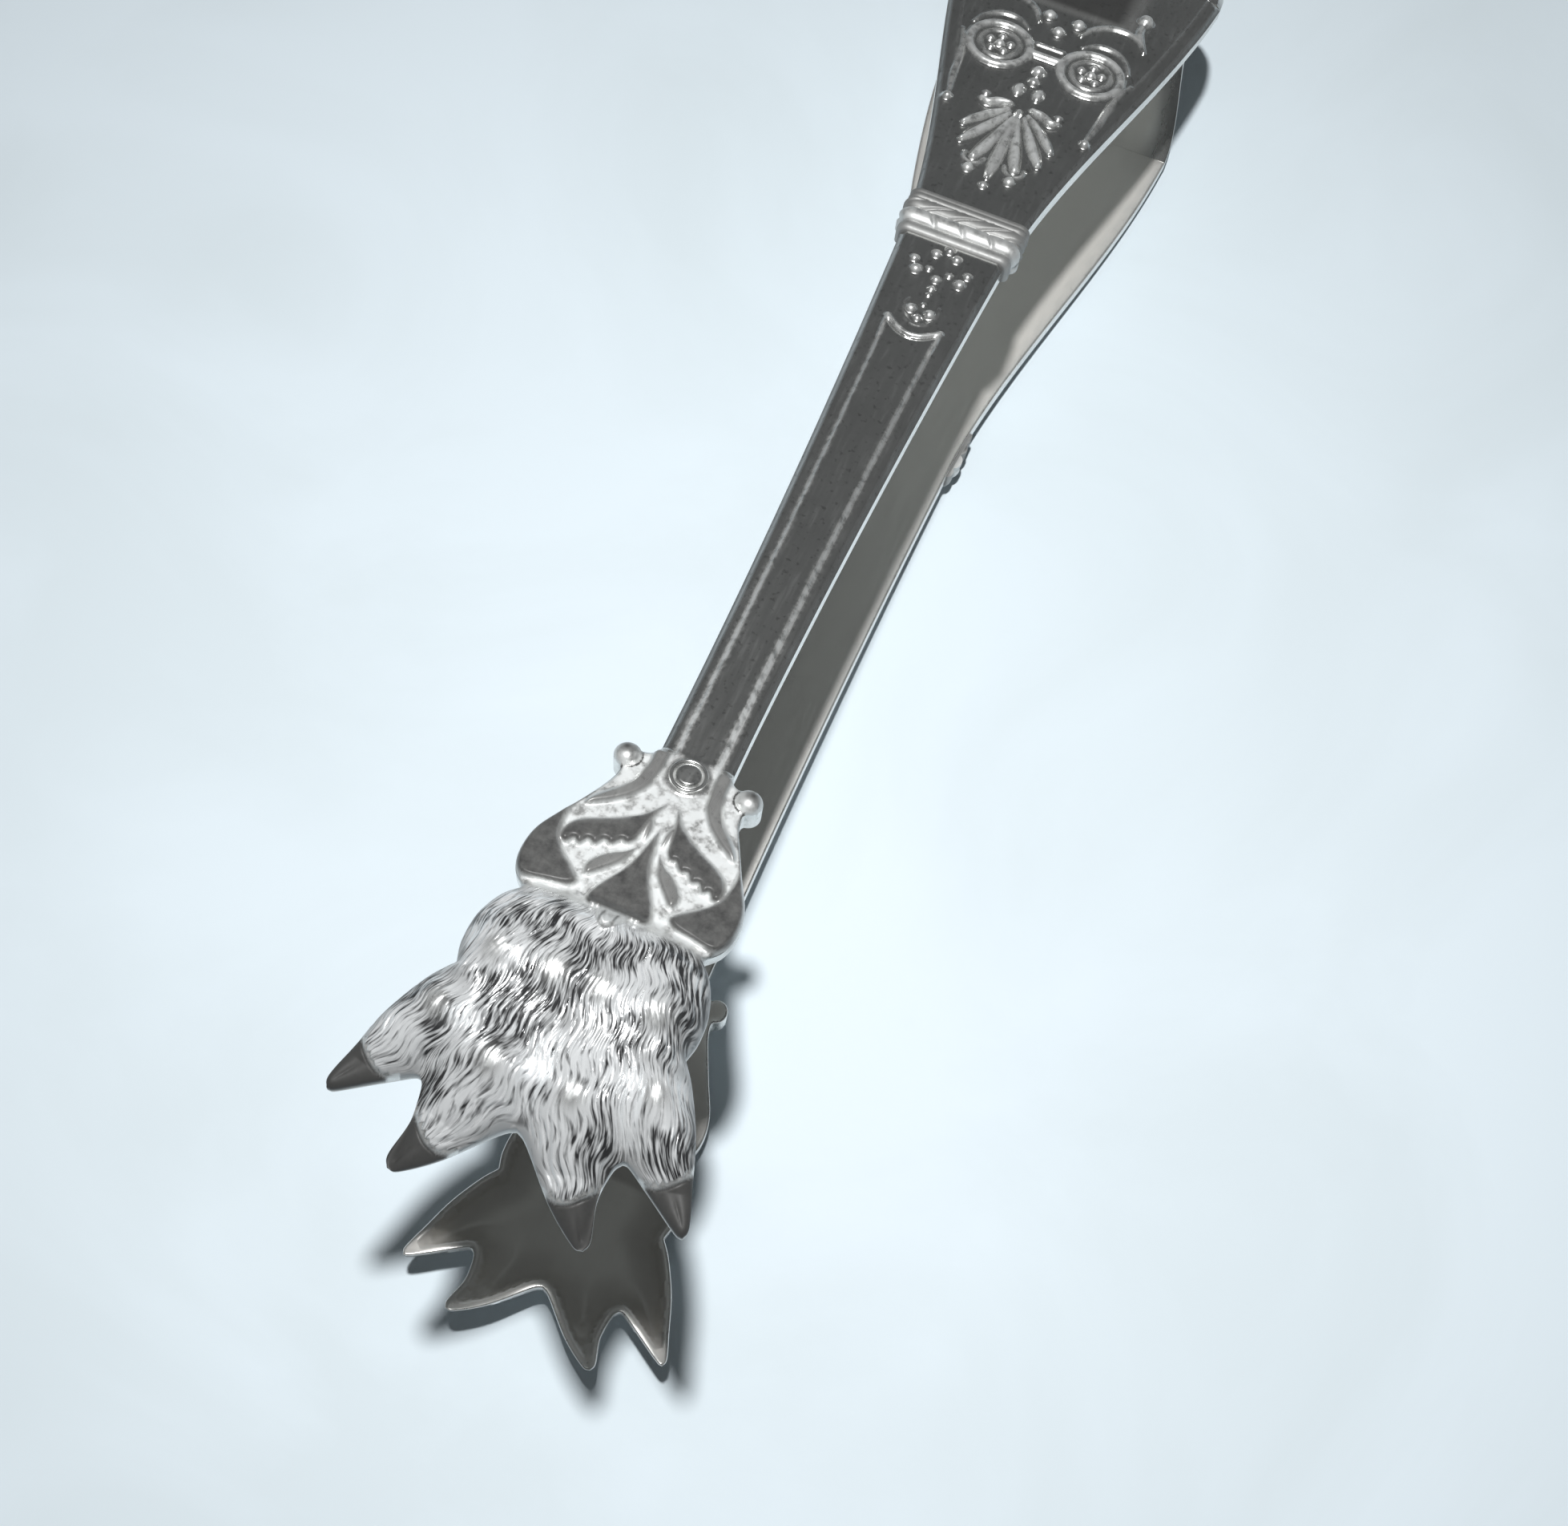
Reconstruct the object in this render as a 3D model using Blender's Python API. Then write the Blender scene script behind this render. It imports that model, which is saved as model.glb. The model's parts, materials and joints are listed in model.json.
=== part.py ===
"""Sugar tongs: two arms with clawed paws, sprung apart by a U-shaped bow.

The tongs are modelled about their bow. The origin of that frame is the centre
of the bow's arc, +Y runs to the crown of the bow, the claws point along -Y,
X runs across the arms, and the plane z = 0 lies midway between the two arms.
The upper arm is built, and the lower one is its mirror image. The whole is
then tilted so that it lies on its lower arm, as tongs lie on a table.
"""

import math

import bmesh
import bpy
import numpy as np
from mathutils import Matrix, Vector
from mathutils.geometry import delaunay_2d_cdt

MM = 0.001

# Lengths along the tongs
COLLAR_FROM_BOW = 35.9 * MM
KNEE_FROM_COLLAR = 54.35 * MM
PAW_REACH = 25.05 * MM
SHOULDER_FLAT = 7.0 * MM

# Distances from the middle plane to the outer faces, at rest
BOW_RADIUS = 10.6 * MM
COLLAR_HALF_GAP = 15.3 * MM
KNEE_HALF_GAP = 21.9 * MM

# Arms
KNEE_HALF_WIDTH = 2.5 * MM
SHAFT_TOP_HALF_WIDTH = 4.35 * MM
SHOULDER_HALF_WIDTH = 11.8 * MM
ARM_THICKNESS = 2.0 * MM
EDGE_BEVEL = 0.5 * MM
RIDGE_SHARE = 0.5
RIDGE_HEIGHT = 0.3 * MM
RIDGE_SLOPE = 0.35 * MM
RIDGE_LENGTH = 38.6 * MM
ARM_STATION = 4.0 * MM

# Bow
BOW_THICKNESS = 1.5 * MM
CROWN_THICKNESS = 1.2 * MM
CROWN_HALF_WIDTH = 9.6 * MM
BOW_STEPS = 30

# Half-lap joints of the arms with the bow and with the paws
SEAT_GAP = 0.3 * MM
BOW_LAP_LENGTH = 5.0 * MM
BOW_LAP_SKIN = 0.6 * MM
PAW_LAP_LENGTH = 6.0 * MM
PAW_LAP_SKIN = 0.9 * MM
LAP_END_RADIUS = 1.55 * MM
LAP_TAPER = 3.95 * MM
LAP_SIDE_DROP = 0.6 * MM
SEAT_TOP_DROP = 1.1 * MM
STEP_RUN = 0.05 * MM

# Collars
COLLAR_LENGTH = 4.7 * MM
COLLAR_OFFSET = 0.45 * MM
COLLAR_SEAT_DEPTH = 0.3 * MM
COLLAR_PLATE = 0.4 * MM
REED_HEIGHT = 0.4 * MM
REED_STEPS = 4
TWIST_COLUMN = 0.36 * MM
TWIST_COLUMNS = 6
TWIST_NOTCH = 0.6

# Width of each reed and sideways lean of its twist; plain reeds have no lean
REEDS = ((0.95 * MM, 0.0), (1.4 * MM, -0.3), (1.25 * MM, 1.2), (0.55 * MM, 0.0), (0.55 * MM, 0.0))

# Rivets
RIVET_RADIUS = 0.5 * MM
RIVET_CLEARANCE = 0.2 * MM
RIVET_RING_RADIUS = 1.25 * MM
RIVET_DOME_RADIUS = 0.85 * MM
RIVET_DOME_HEIGHT = 0.5 * MM
RIVET_RIM_HEIGHT = 0.25 * MM
RIVET_GROOVE = 0.1 * MM
RIVET_SIDES = 20

# Paws
PAW_DOME = 2.6 * MM
PAW_DOME_REACH = 3.4 * MM
PAW_WALL = 1.2 * MM
PAW_RIM = 1.1 * MM
PAW_RIM_FLAT = 0.8 * MM
HOLLOW_TOP = 15.5 * MM
HOLLOW_RUN = 5.0 * MM
RIM_DEEPEN_START = 13.8 * MM
RIM_DEEPEN_RUN = 8.8 * MM
TALON_TIP_RIM = 0.6 * MM
TALON_LENGTH = 4.6 * MM
TALON_HEIGHT = 1.0 * MM
TALON_STEP = 0.35 * MM
TALON_STEP_RUN = 0.3 * MM
KNUCKLE_HEIGHT = 0.95 * MM
KNUCKLE_RADIUS = 1.45 * MM
TOE_VALLEY = 0.8 * MM
VALLEY_HALF_WIDTH = 0.7 * MM
VALLEY_TOP = 9.0 * MM
VALLEY_RUN = 6.0 * MM
VALLEY_EDGE = 1.2 * MM
OUTER_VALLEY_FOOT = 6.3 * MM
OUTER_VALLEY_LEAN = 0.22
TOE_FALL_START = 2.2 * MM
TOE_FALL_LEAN = 0.25
TOE_FALL_RADIUS = 10.0 * MM
TOE_FALL_LIMIT = 1.1 * MM
CALYX_FIELD = 0.3 * MM
CALYX_FOOT = 14.4 * MM
FUR_TOP = 11.8 * MM
LEAF_FOOT = 12.3 * MM
LEAF_FADE = 0.9 * MM
LOBE_HEIGHT = 0.6 * MM
LEAF_HEIGHT = 0.55 * MM
FINGER_HEIGHT = 0.5 * MM
LEAF_SLOPE = 0.3 * MM
LEAF_PITCH = 0.5 * MM
BALL_RADIUS = 0.85 * MM
BALL_PLACE = (4.12 * MM, 25.02 * MM)
PAW_EDGE_INSET = 0.35 * MM
PAW_EDGE_PITCH = 0.6 * MM
PAW_FACE_PITCH = 0.7 * MM
PAW_BACK_PITCH = 1.9 * MM

# Outline of the right half of a paw, in millimetres from the web between the
# middle toes. Each stroke is a smooth curve, and strokes meet at corners.
CALYX_SIDE = ((4.15, 23.75), (4.45, 22.6), (5.65, 19.95), (6.85, 17.45), (7.1, 15.7), (6.75, 14.2),
              (5.85, 13.15))
FUR_SIDE = ((5.85, 13.15), (6.75, 12.1), (7.45, 10.4), (7.55, 8.6), (7.25, 7.25))
OUTER_TOE_SIDE = ((7.25, 7.25), (8.3, 5.8), (9.6, 3.3), (10.55, 0.6), (11.2, -1.35), (11.05, -1.98))
OUTER_TOE_INSIDE = ((11.05, -1.98), (10.5, -1.85), (8.3, -0.5), (6.75, 0.45), (6.3, 0.5))
INNER_TOE_SIDE = ((6.3, 0.5), (5.95, -0.1), (5.8, -1.9), (6.3, -3.9), (6.1, -4.55))
INNER_TOE_INSIDE = ((6.1, -4.55), (5.4, -4.5), (3.3, -3.05), (0.8, -0.6), (0.0, -0.1))

# Centre line of the paw's edge: distance from the web, rise over the knee
PAW_PROFILE = ((-6.0, 0.1), (-3.0, 1.7), (0.0, 2.7), (6.0, 3.3), (13.0, 3.1), (18.0, 1.9), (25.05, 0.0))

# Knuckles, and the base of each talon as two points across the toe
KNUCKLES = ((1.4, 9.5), (5.1, 9.7), (2.5, 3.5), (6.8, 5.3))
TALON_BASES = (((10.3, 1.2), (8.0, -0.35)), ((5.75, -1.8), (2.9, -2.85)))
TALON_SPREAD = (0.9, 1.5)

# Leaves of the calyx as closed outlines: smooth lobe, three fingers, and half of the central leaf
LOBE = ((4.35, 22.9), (4.95, 21.3), (5.5, 19.6), (5.35, 17.7), (4.7, 16.6), (3.7, 15.7), (2.95, 14.9),
        (3.4, 14.25), (4.8, 13.95), (5.9, 13.75), (6.55, 14.0), (7.1, 15.2), (7.0, 17.2), (6.2, 19.0),
        (5.3, 20.9))
OUTER_FINGER = ((2.15, 23.2), (2.4, 22.3), (3.2, 21.45), (4.1, 20.75), (4.95, 20.3), (4.85, 20.95),
                (4.2, 21.8), (3.5, 22.6), (3.1, 23.3))
MIDDLE_FINGER = ((0.36, 22.6), (0.95, 21.75), (1.6, 21.0), (2.9, 20.1), (4.5, 19.25), (5.15, 18.4),
                 (5.1, 17.3), (4.5, 17.3), (3.2, 17.8), (2.0, 18.4), (0.98, 19.2), (0.8, 20.2), (0.6, 21.4))
INNER_FINGER = ((0.66, 18.8), (1.35, 18.15), (2.4, 17.4), (3.1, 16.3), (2.75, 15.45), (1.95, 16.2),
                (1.1, 17.3))
LEAF = ((0.0, 20.6), (0.28, 19.4), (0.55, 18.0), (0.95, 16.8), (1.75, 15.3), (2.12, 14.3), (1.9, 13.6),
        (1.35, 13.35), (0.95, 13.0), (0.62, 12.3), (0.0, 11.75))

# Materials: colour, roughness, metallic
SILVER = ((0.62, 0.62, 0.60, 1.0), 0.18, 1.0)
SILVER_CAST = ((0.50, 0.51, 0.50, 1.0), 0.28, 1.0)
SILVER_BAND = ((0.70, 0.71, 0.69, 1.0), 0.22, 1.0)
SILVER_RIVET = ((0.42, 0.42, 0.42, 1.0), 0.25, 1.0)

# Places that follow from the sizes
COLLAR_Y = -COLLAR_FROM_BOW
COLLAR_MIDDLE = COLLAR_Y + COLLAR_OFFSET
KNEE_Y = COLLAR_Y - KNEE_FROM_COLLAR
WEB_Y = KNEE_Y - PAW_REACH
LAP_TAPER_Y = KNEE_Y + LAP_TAPER
PAW_LAP_Y = KNEE_Y + PAW_LAP_LENGTH
LAP_SIDE_Y = LAP_TAPER_Y - LAP_SIDE_DROP


def clear_scene():
    for item in list(bpy.data.objects):
        bpy.data.objects.remove(item, do_unlink=True)


def smooth_curve(points, pitch):
    """Points at about equal steps along a Catmull-Rom curve, both ends included."""
    knots = np.array(points, dtype=float)
    padded = np.vstack([2 * knots[0] - knots[1], knots, 2 * knots[-1] - knots[-2]])
    fine = []
    for a, b, c, d in zip(padded, padded[1:], padded[2:], padded[3:]):
        for t in np.linspace(0.0, 1.0, 20, endpoint=False):
            fine.append(0.5 * (2 * b + (c - a) * t + (2 * a - 5 * b + 4 * c - d) * t ** 2
                               + (3 * b - a - 3 * c + d) * t ** 3))
    fine.append(knots[-1])
    fine = np.array(fine)
    run = np.concatenate([[0.0], np.cumsum(np.linalg.norm(np.diff(fine, axis=0), axis=1))])
    steps = max(1, round(run[-1] / pitch))
    even = np.linspace(0.0, run[-1], steps + 1)
    return np.column_stack([np.interp(even, run, fine[:, 0]), np.interp(even, run, fine[:, 1])])


def distance_to_path(points, path, closed):
    """Distance from each point to a polyline."""
    starts = np.asarray(path, dtype=float)
    ends = np.roll(starts, -1, axis=0)
    if not closed:
        starts, ends = starts[:-1], ends[:-1]
    best = np.full(len(points), np.inf)
    for a, b in zip(starts, ends):
        run = b - a
        share = np.clip((points - a) @ run / max(run @ run, 1e-18), 0.0, 1.0)
        best = np.minimum(best, np.linalg.norm(points - (a + share[:, None] * run), axis=1))
    return best


def inside_path(points, path):
    """Whether each point lies inside a closed polyline."""
    path = np.asarray(path, dtype=float)
    inside = np.zeros(len(points), dtype=bool)
    for (ax, ay), (bx, by) in zip(path, np.roll(path, -1, axis=0)):
        if ay == by:
            continue
        spans = (ay > points[:, 1]) != (by > points[:, 1])
        cross = ax + (points[:, 1] - ay) * (bx - ax) / (by - ay)
        inside ^= spans & (points[:, 0] < cross)
    return inside


def both_sides(path):
    """A closed outline from its right half, which runs from +Y round to the middle at -Y."""
    half = [tuple(p) for p in path]
    mirrored = [(-x, y) for x, y in reversed(half) if abs(x) > 1e-9]
    return np.array(half + mirrored)


def grid_points(outline, pitch, keep_off, lines):
    """Staggered points inside an outline, clear of it and of the lines."""
    low, high = outline.min(axis=0), outline.max(axis=0)
    points = []
    row_step = pitch * math.sqrt(3) / 2
    for row in range(int((high[1] - low[1]) / row_step) + 1):
        y = low[1] + (row + 0.5) * row_step
        count = int(high[0] / pitch) + 2
        for column in range(-count, count + 1):
            points.append(((column + 0.5 * (row % 2)) * pitch, y))
    points = np.array(points)
    points = points[inside_path(points, outline)]
    points = points[distance_to_path(points, outline, True) > keep_off]
    for line in lines:
        points = points[distance_to_path(points, line, False) > 0.5 * keep_off]
    return points


def triangulate(outline, lines, points):
    """Triangles over an outline that follow the lines; the outline's points come first."""
    flat = [Vector((float(x), float(y))) / MM for x, y in outline]
    edges = []
    for line in lines:
        first = len(flat)
        flat += [Vector((float(x), float(y))) / MM for x, y in line]
        edges += [(first + i, first + i + 1) for i in range(len(line) - 1)]
    flat += [Vector((float(x), float(y))) / MM for x, y in points]
    verts, _, faces, origins, _, _ = delaunay_2d_cdt(flat, edges, [list(range(len(outline)))], 1, 1e-5)
    places = np.array([(v.x, v.y) for v in verts]) * MM
    rim = {}
    for index, sources in enumerate(origins):
        for source in sources:
            if source < len(outline):
                rim[source] = index
    return places, faces, [rim[i] for i in range(len(outline))]


def plate(name, outline, face, back, face_height, back_height):
    """A closed plate: a face and a back of their own triangles, joined by a wall round the outline."""
    face_places, face_tris, face_rim = triangulate(outline, *face)
    back_places, back_tris, back_rim = triangulate(outline, *back)
    shift = len(face_places)
    verts = [(x, y, z) for (x, y), z in zip(face_places, face_height(face_places))]
    verts += [(x, y, z) for (x, y), z in zip(back_places, back_height(back_places))]
    faces = [tuple(t) for t in face_tris]
    faces += [tuple(shift + i for i in reversed(t)) for t in back_tris]
    for i, j in zip(range(len(outline)), [*range(1, len(outline)), 0]):
        faces.append((face_rim[i], shift + back_rim[i], shift + back_rim[j], face_rim[j]))
    return make_mesh(name, verts, faces)


def make_mesh(name, verts, faces):
    mesh = bpy.data.meshes.new(name)
    mesh.from_pydata([tuple(map(float, v)) for v in verts], [], faces)
    work = bmesh.new()
    work.from_mesh(mesh)
    bmesh.ops.triangulate(work, faces=work.faces)
    bmesh.ops.recalc_face_normals(work, faces=work.faces)
    work.to_mesh(mesh)
    work.free()
    return mesh


def tube_of_sections(sections):
    """Faces of a body lofted through closed sections of equal counts, with capped ends."""
    count = len(sections[0])
    verts = [p for section in sections for p in section]
    faces = []
    for level in range(len(sections) - 1):
        for i in range(count):
            j = (i + 1) % count
            a, b = level * count, (level + 1) * count
            faces.append((a + i, a + j, b + j, b + i))
    faces.append(tuple(range(count)))
    faces.append(tuple(reversed(range(len(verts) - count, len(verts)))))
    return verts, faces


# Paw


def paw_profile(y):
    """Height of the paw's edge over the knee at a distance from the web."""
    stations = np.array(PAW_PROFILE)
    fine = smooth_curve(stations, 0.5)
    return np.interp(y / MM, fine[:, 0], fine[:, 1]) * MM


def paw_rim(y):
    """Depth of the paw's wall below its edge: thin at the talons, as deep as the arm at the knee."""
    knee = np.clip((y - RIM_DEEPEN_START) / RIM_DEEPEN_RUN, 0.0, 1.0)
    tip = np.clip(-y / TALON_LENGTH, 0.0, 1.0)
    rim = PAW_RIM + (ARM_THICKNESS - PAW_RIM) * knee ** 2 * (3 - 2 * knee)
    return rim + (TALON_TIP_RIM - PAW_RIM) * tip


def lap_half_width(y, offset):
    """Half-width of the arm's rounded end, which lies in the paw, grown by an offset."""
    near, far = LAP_END_RADIUS, KNEE_HALF_WIDTH
    lean = math.asin((far - near) / LAP_TAPER)
    y = np.asarray(y, dtype=float)
    radius = near + offset
    tangent_y = KNEE_Y - radius * math.sin(lean)
    straight = radius * math.cos(lean) + (y - tangent_y) * math.tan(lean)
    round_end = np.sqrt(np.maximum(radius ** 2 - (y - KNEE_Y) ** 2, 0.0))
    return np.where(y < tangent_y, round_end, np.minimum(straight, far + offset))


def lap_path(offset, top):
    """The edge of the arm's rounded end, grown by an offset, from its tip up the right side."""
    lean = math.asin((KNEE_HALF_WIDTH - LAP_END_RADIUS) / LAP_TAPER)
    radius = LAP_END_RADIUS + offset
    angles = np.linspace(-math.pi / 2, -lean, 6)
    path = [(radius * math.cos(a), KNEE_Y + radius * math.sin(a)) for a in angles]
    path[0] = (0.0, KNEE_Y - radius)
    path.append((float(lap_half_width(top, offset)), top))
    return path


def ball_arc():
    """The ball's outline, clockwise from its stem to its underside."""
    cx, cy = BALL_PLACE
    angles = np.radians(np.linspace(140.0, -85.0, 13))
    return [(cx + BALL_RADIUS * math.cos(a), cy + BALL_RADIUS * math.sin(a)) for a in angles]


def paw_outline():
    """The paw's outline in the tongs' frame, with the tongue that lies under the arm's end."""
    step_top = seat_top()
    half = [(0.5 * KNEE_HALF_WIDTH, PAW_LAP_Y), (KNEE_HALF_WIDTH, PAW_LAP_Y), (KNEE_HALF_WIDTH, LAP_SIDE_Y)]
    half += [(step_top[1][0], step_top[1][1]), (step_top[0][0], step_top[0][1])]
    half += [(KNEE_HALF_WIDTH + SEAT_GAP, KNEE_Y + LAP_END_RADIUS)]
    half += [(x, WEB_Y + y) for x, y in ball_arc()]
    strokes = (CALYX_SIDE, FUR_SIDE, OUTER_TOE_SIDE, OUTER_TOE_INSIDE, INNER_TOE_SIDE, INNER_TOE_INSIDE)
    for number, stroke in enumerate(strokes):
        curve = smooth_curve(np.array(stroke) * MM, PAW_EDGE_PITCH)
        if number:
            curve = curve[1:]
        half += [(x, WEB_Y + y) for x, y in curve]
    return both_sides(half)


def seat_top():
    """Where the seat's step meets the paw's outline: its upper and its lower line."""
    y = LAP_TAPER_Y - SEAT_TOP_DROP
    return ((float(lap_half_width(y, SEAT_GAP + STEP_RUN)), y - 2 * STEP_RUN),
            (float(lap_half_width(y, SEAT_GAP)), y))


def seat_lines():
    """The two lines of the step round the seat, each from one side of the paw to the other."""
    lines = []
    for place, offset in zip(seat_top(), (SEAT_GAP + STEP_RUN, SEAT_GAP)):
        right = lap_path(offset, place[1])
        right[-1] = place
        left = [(-x, y) for x, y in reversed(right[1:])]
        lines.append(left + right)
    return lines


def dome(distance, reach):
    """A quarter round: 0 at the edge, 1 from the given reach inwards."""
    share = np.clip(distance / reach, 0.0, 1.0)
    return np.sqrt(np.maximum(1.0 - (1.0 - share) ** 2, 0.0))


def talon_cover(x, y):
    """1 past the base of a talon, 0 on the fur, for points measured from the web."""
    cover = np.zeros(len(x))
    for (x_out, y_out), (x_in, y_in) in TALON_BASES:
        side = ((x_in - x_out) * (y / MM - y_out) - (y_in - y_out) * (np.abs(x) / MM - x_out))
        near = (np.abs(x) / MM < x_out + TALON_SPREAD[1]) & (np.abs(x) / MM > x_in - TALON_SPREAD[0])
        side = side / math.hypot(x_in - x_out, y_in - y_out)
        cover = np.maximum(cover, np.where(near, np.clip(side * MM / TALON_STEP_RUN, 0.0, 1.0), 0.0))
    return cover


def toe_valleys(side, y):
    """1 along the valleys between the toes, for distances from the middle and from the web."""
    lean = OUTER_VALLEY_FOOT - OUTER_VALLEY_LEAN * np.clip(y, 0.0, None)
    middle = np.exp(-(side / VALLEY_HALF_WIDTH) ** 2)
    outer = np.exp(-((side - lean) / VALLEY_HALF_WIDTH) ** 2)
    return np.maximum(middle, outer) * np.clip((VALLEY_TOP - y) / VALLEY_RUN, 0.0, 1.0)


def toe_fall(side, y):
    """Drop of the toes towards their talons, which rounds them along their length."""
    below = np.clip(TOE_FALL_START + TOE_FALL_LEAN * side - y, 0.0, None)
    return np.minimum(0.5 * below ** 2 / TOE_FALL_RADIUS, TOE_FALL_LIMIT)


def fur_height(side, y, edge):
    """Height of knuckles and toes over the paw's edge."""
    height = PAW_DOME * dome(edge, PAW_DOME_REACH)
    for kx, ky in KNUCKLES:
        gap = np.hypot(side - kx * MM, y - ky * MM) / KNUCKLE_RADIUS
        height = height + KNUCKLE_HEIGHT * np.exp(-gap ** 2) * dome(edge, KNUCKLE_RADIUS)
    return height - (TOE_VALLEY * toe_valleys(side, y) + toe_fall(side, y)) * dome(edge, VALLEY_EDGE)


def paw_bulge(places, outline):
    """Height of the paw's outer face over its edge."""
    x, y = places[:, 0], places[:, 1] - WEB_Y
    side = np.abs(x)
    edge = distance_to_path(places, outline, True)
    fur = fur_height(side, y, edge)
    talon = talon_cover(x, y)
    claw = np.minimum(TALON_HEIGHT * dome(edge, TALON_HEIGHT), fur - TALON_STEP * dome(edge, TALON_HEIGHT))
    toes = (1 - talon) * fur + talon * claw
    rise = np.clip((CALYX_FOOT - y) / (CALYX_FOOT - FUR_TOP), 0.0, 1.0)
    rise = rise * rise * (3 - 2 * rise)
    ground = (1 - rise) * CALYX_FIELD * dome(edge, PAW_EDGE_INSET) + rise * toes
    fade = np.clip((y - LEAF_FOOT + LEAF_FADE) / LEAF_FADE, 0.0, 1.0)
    calyx = ground + calyx_relief(side, y) * fade * np.clip(edge / PAW_EDGE_INSET, 0.0, 1.0)
    ball = np.maximum(BALL_RADIUS ** 2 - (side - BALL_PLACE[0]) ** 2 - (y - BALL_PLACE[1]) ** 2, 0.0)
    return np.maximum(np.maximum(calyx, np.sqrt(ball)), 0.0)


def calyx_leaves():
    """The raised leaves as closed outlines on the right, or about the middle, with their heights."""
    closed = [(LOBE, LOBE_HEIGHT), (OUTER_FINGER, FINGER_HEIGHT), (MIDDLE_FINGER, FINGER_HEIGHT),
              (INNER_FINGER, FINGER_HEIGHT)]
    leaves = [(both_sides(smooth_curve(np.array(LEAF) * MM, LEAF_PITCH)), LEAF_HEIGHT)]
    for path, height in closed:
        leaves.append((smooth_curve(np.array(path + path[:1]) * MM, LEAF_PITCH)[:-1], height))
    return leaves


def calyx_relief(side, y):
    """Height of the leaves over the calyx, for distances from the middle and from the web."""
    places = np.column_stack([side, y])
    relief = np.zeros(len(places))
    for path, height in calyx_leaves():
        gap = np.where(inside_path(places, path), distance_to_path(places, path, True), 0.0)
        relief = np.maximum(relief, height * np.clip(gap / LEAF_SLOPE, 0.0, 1.0))
    return relief


def leaf_points():
    """Points at the foot and at the top of each leaf's slope, on both sides of the middle."""
    points = []
    for path, _ in calyx_leaves():
        rows = np.vstack([path, inset_points(path, LEAF_SLOPE)]) + (0.0, WEB_Y)
        points.append(rows)
        if path[:, 0].min() > 0:
            points.append(rows * (-1.0, 1.0))
    return points


def valley_points():
    """Points along the valleys between the toes."""
    y = np.arange(PAW_FACE_PITCH, VALLEY_TOP, PAW_FACE_PITCH)
    lean = OUTER_VALLEY_FOOT - OUTER_VALLEY_LEAN * y
    return [np.column_stack([aside, y + WEB_Y]) for aside in (0.0 * y, lean, -lean)]


def talon_points():
    """Points on both sides of the step at the base of each talon."""
    points = []
    for side in (-1.0, 1.0):
        for a, b in np.array(TALON_BASES) * MM:
            down = np.array((a[1] - b[1], b[0] - a[0])) / np.linalg.norm(b - a)
            for share in np.linspace(0.1, 0.9, 5):
                for shift in (0.0, TALON_STEP_RUN):
                    x, y = a + share * (b - a) + shift * down
                    points.append((side * x, y + WEB_Y))
    return [np.array(points)]


def thinned(points, least):
    """Points without those that lie closer than the least distance to an earlier one."""
    kept = np.empty((0, 2))
    for point in points:
        if not len(kept) or np.min(np.hypot(*(kept - point).T)) > least:
            kept = np.vstack([kept, point])
    return kept


def paw_face_points(outline, steps):
    """Points of the paw's outer face: along its edge, its leaves and its toes, and an even field."""
    ring = inset_points(outline, PAW_EDGE_INSET)
    points = np.vstack(talon_points() + leaf_points() + valley_points())
    inner = distance_to_path(points, outline, True) > 2 * PAW_EDGE_INSET
    points = thinned(points[inside_path(points, outline) & inner], 0.5 * LEAF_SLOPE)
    points = np.vstack([ring, points])
    points = points[np.min([distance_to_path(points, line, False) for line in steps], axis=0) > PAW_EDGE_INSET]
    field = grid_points(outline, PAW_FACE_PITCH, PAW_FACE_PITCH, steps)
    gap = np.array([np.min(np.hypot(*(points - place).T)) for place in field])
    return np.vstack([points, field[gap > 0.5 * PAW_FACE_PITCH]])


def paw_face_height(outline):
    def height(places):
        y = places[:, 1]
        level = KNEE_HALF_GAP + paw_profile(y - WEB_Y)
        level = np.where(y > KNEE_Y, arm_height(y), level)
        surface = level + paw_bulge(places, outline)
        grown = lap_half_width(y, SEAT_GAP + 0.5 * STEP_RUN)
        tip = KNEE_Y - LAP_END_RADIUS - SEAT_GAP - 0.5 * STEP_RUN
        in_seat = (np.abs(places[:, 0]) < grown) & (y > tip)
        above = y > seat_top()[1][1] - 1e-9
        floor = arm_height(y) - PAW_LAP_SKIN - SEAT_GAP
        return np.where(in_seat | above, floor, surface)
    return height


def paw_back_height(outline):
    def height(places):
        y = places[:, 1] - WEB_Y
        level = np.where(y > PAW_REACH, arm_height(places[:, 1]), KNEE_HALF_GAP + paw_profile(y))
        edge = distance_to_path(places, outline, True)
        reach = np.clip((edge - PAW_RIM_FLAT) / PAW_DOME_REACH, 0.0, 1.0)
        hollow = (PAW_DOME + PAW_RIM - PAW_WALL) * dome(reach, 1.0) - toe_fall(np.abs(places[:, 0]), y)
        hollow = np.maximum(hollow, 0.0) * np.clip((HOLLOW_TOP - y) / HOLLOW_RUN, 0.0, 1.0)
        return level - paw_rim(y) + hollow
    return height


def make_paw_mesh(name):
    outline = paw_outline()
    steps = seat_lines()
    face = (steps, paw_face_points(outline, steps))
    back = ([], grid_points(outline, PAW_BACK_PITCH, PAW_RIM_FLAT, []))
    return plate(name, outline, face, back, paw_face_height(outline), paw_back_height(outline))


def inset_points(outline, inset):
    """Points just inside an outline, left out where they would crowd a corner."""
    before, after = np.roll(outline, 1, axis=0), np.roll(outline, -1, axis=0)
    run = after - before
    normal = np.column_stack([run[:, 1], -run[:, 0]]) / np.linalg.norm(run, axis=1)[:, None]
    points = outline - normal * inset
    outside = ~inside_path(points, outline)
    points[outside] = (outline + normal * inset)[outside]
    keep = inside_path(points, outline) & (distance_to_path(points, outline, True) > 0.8 * inset)
    return points[keep]


# Arm


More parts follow.
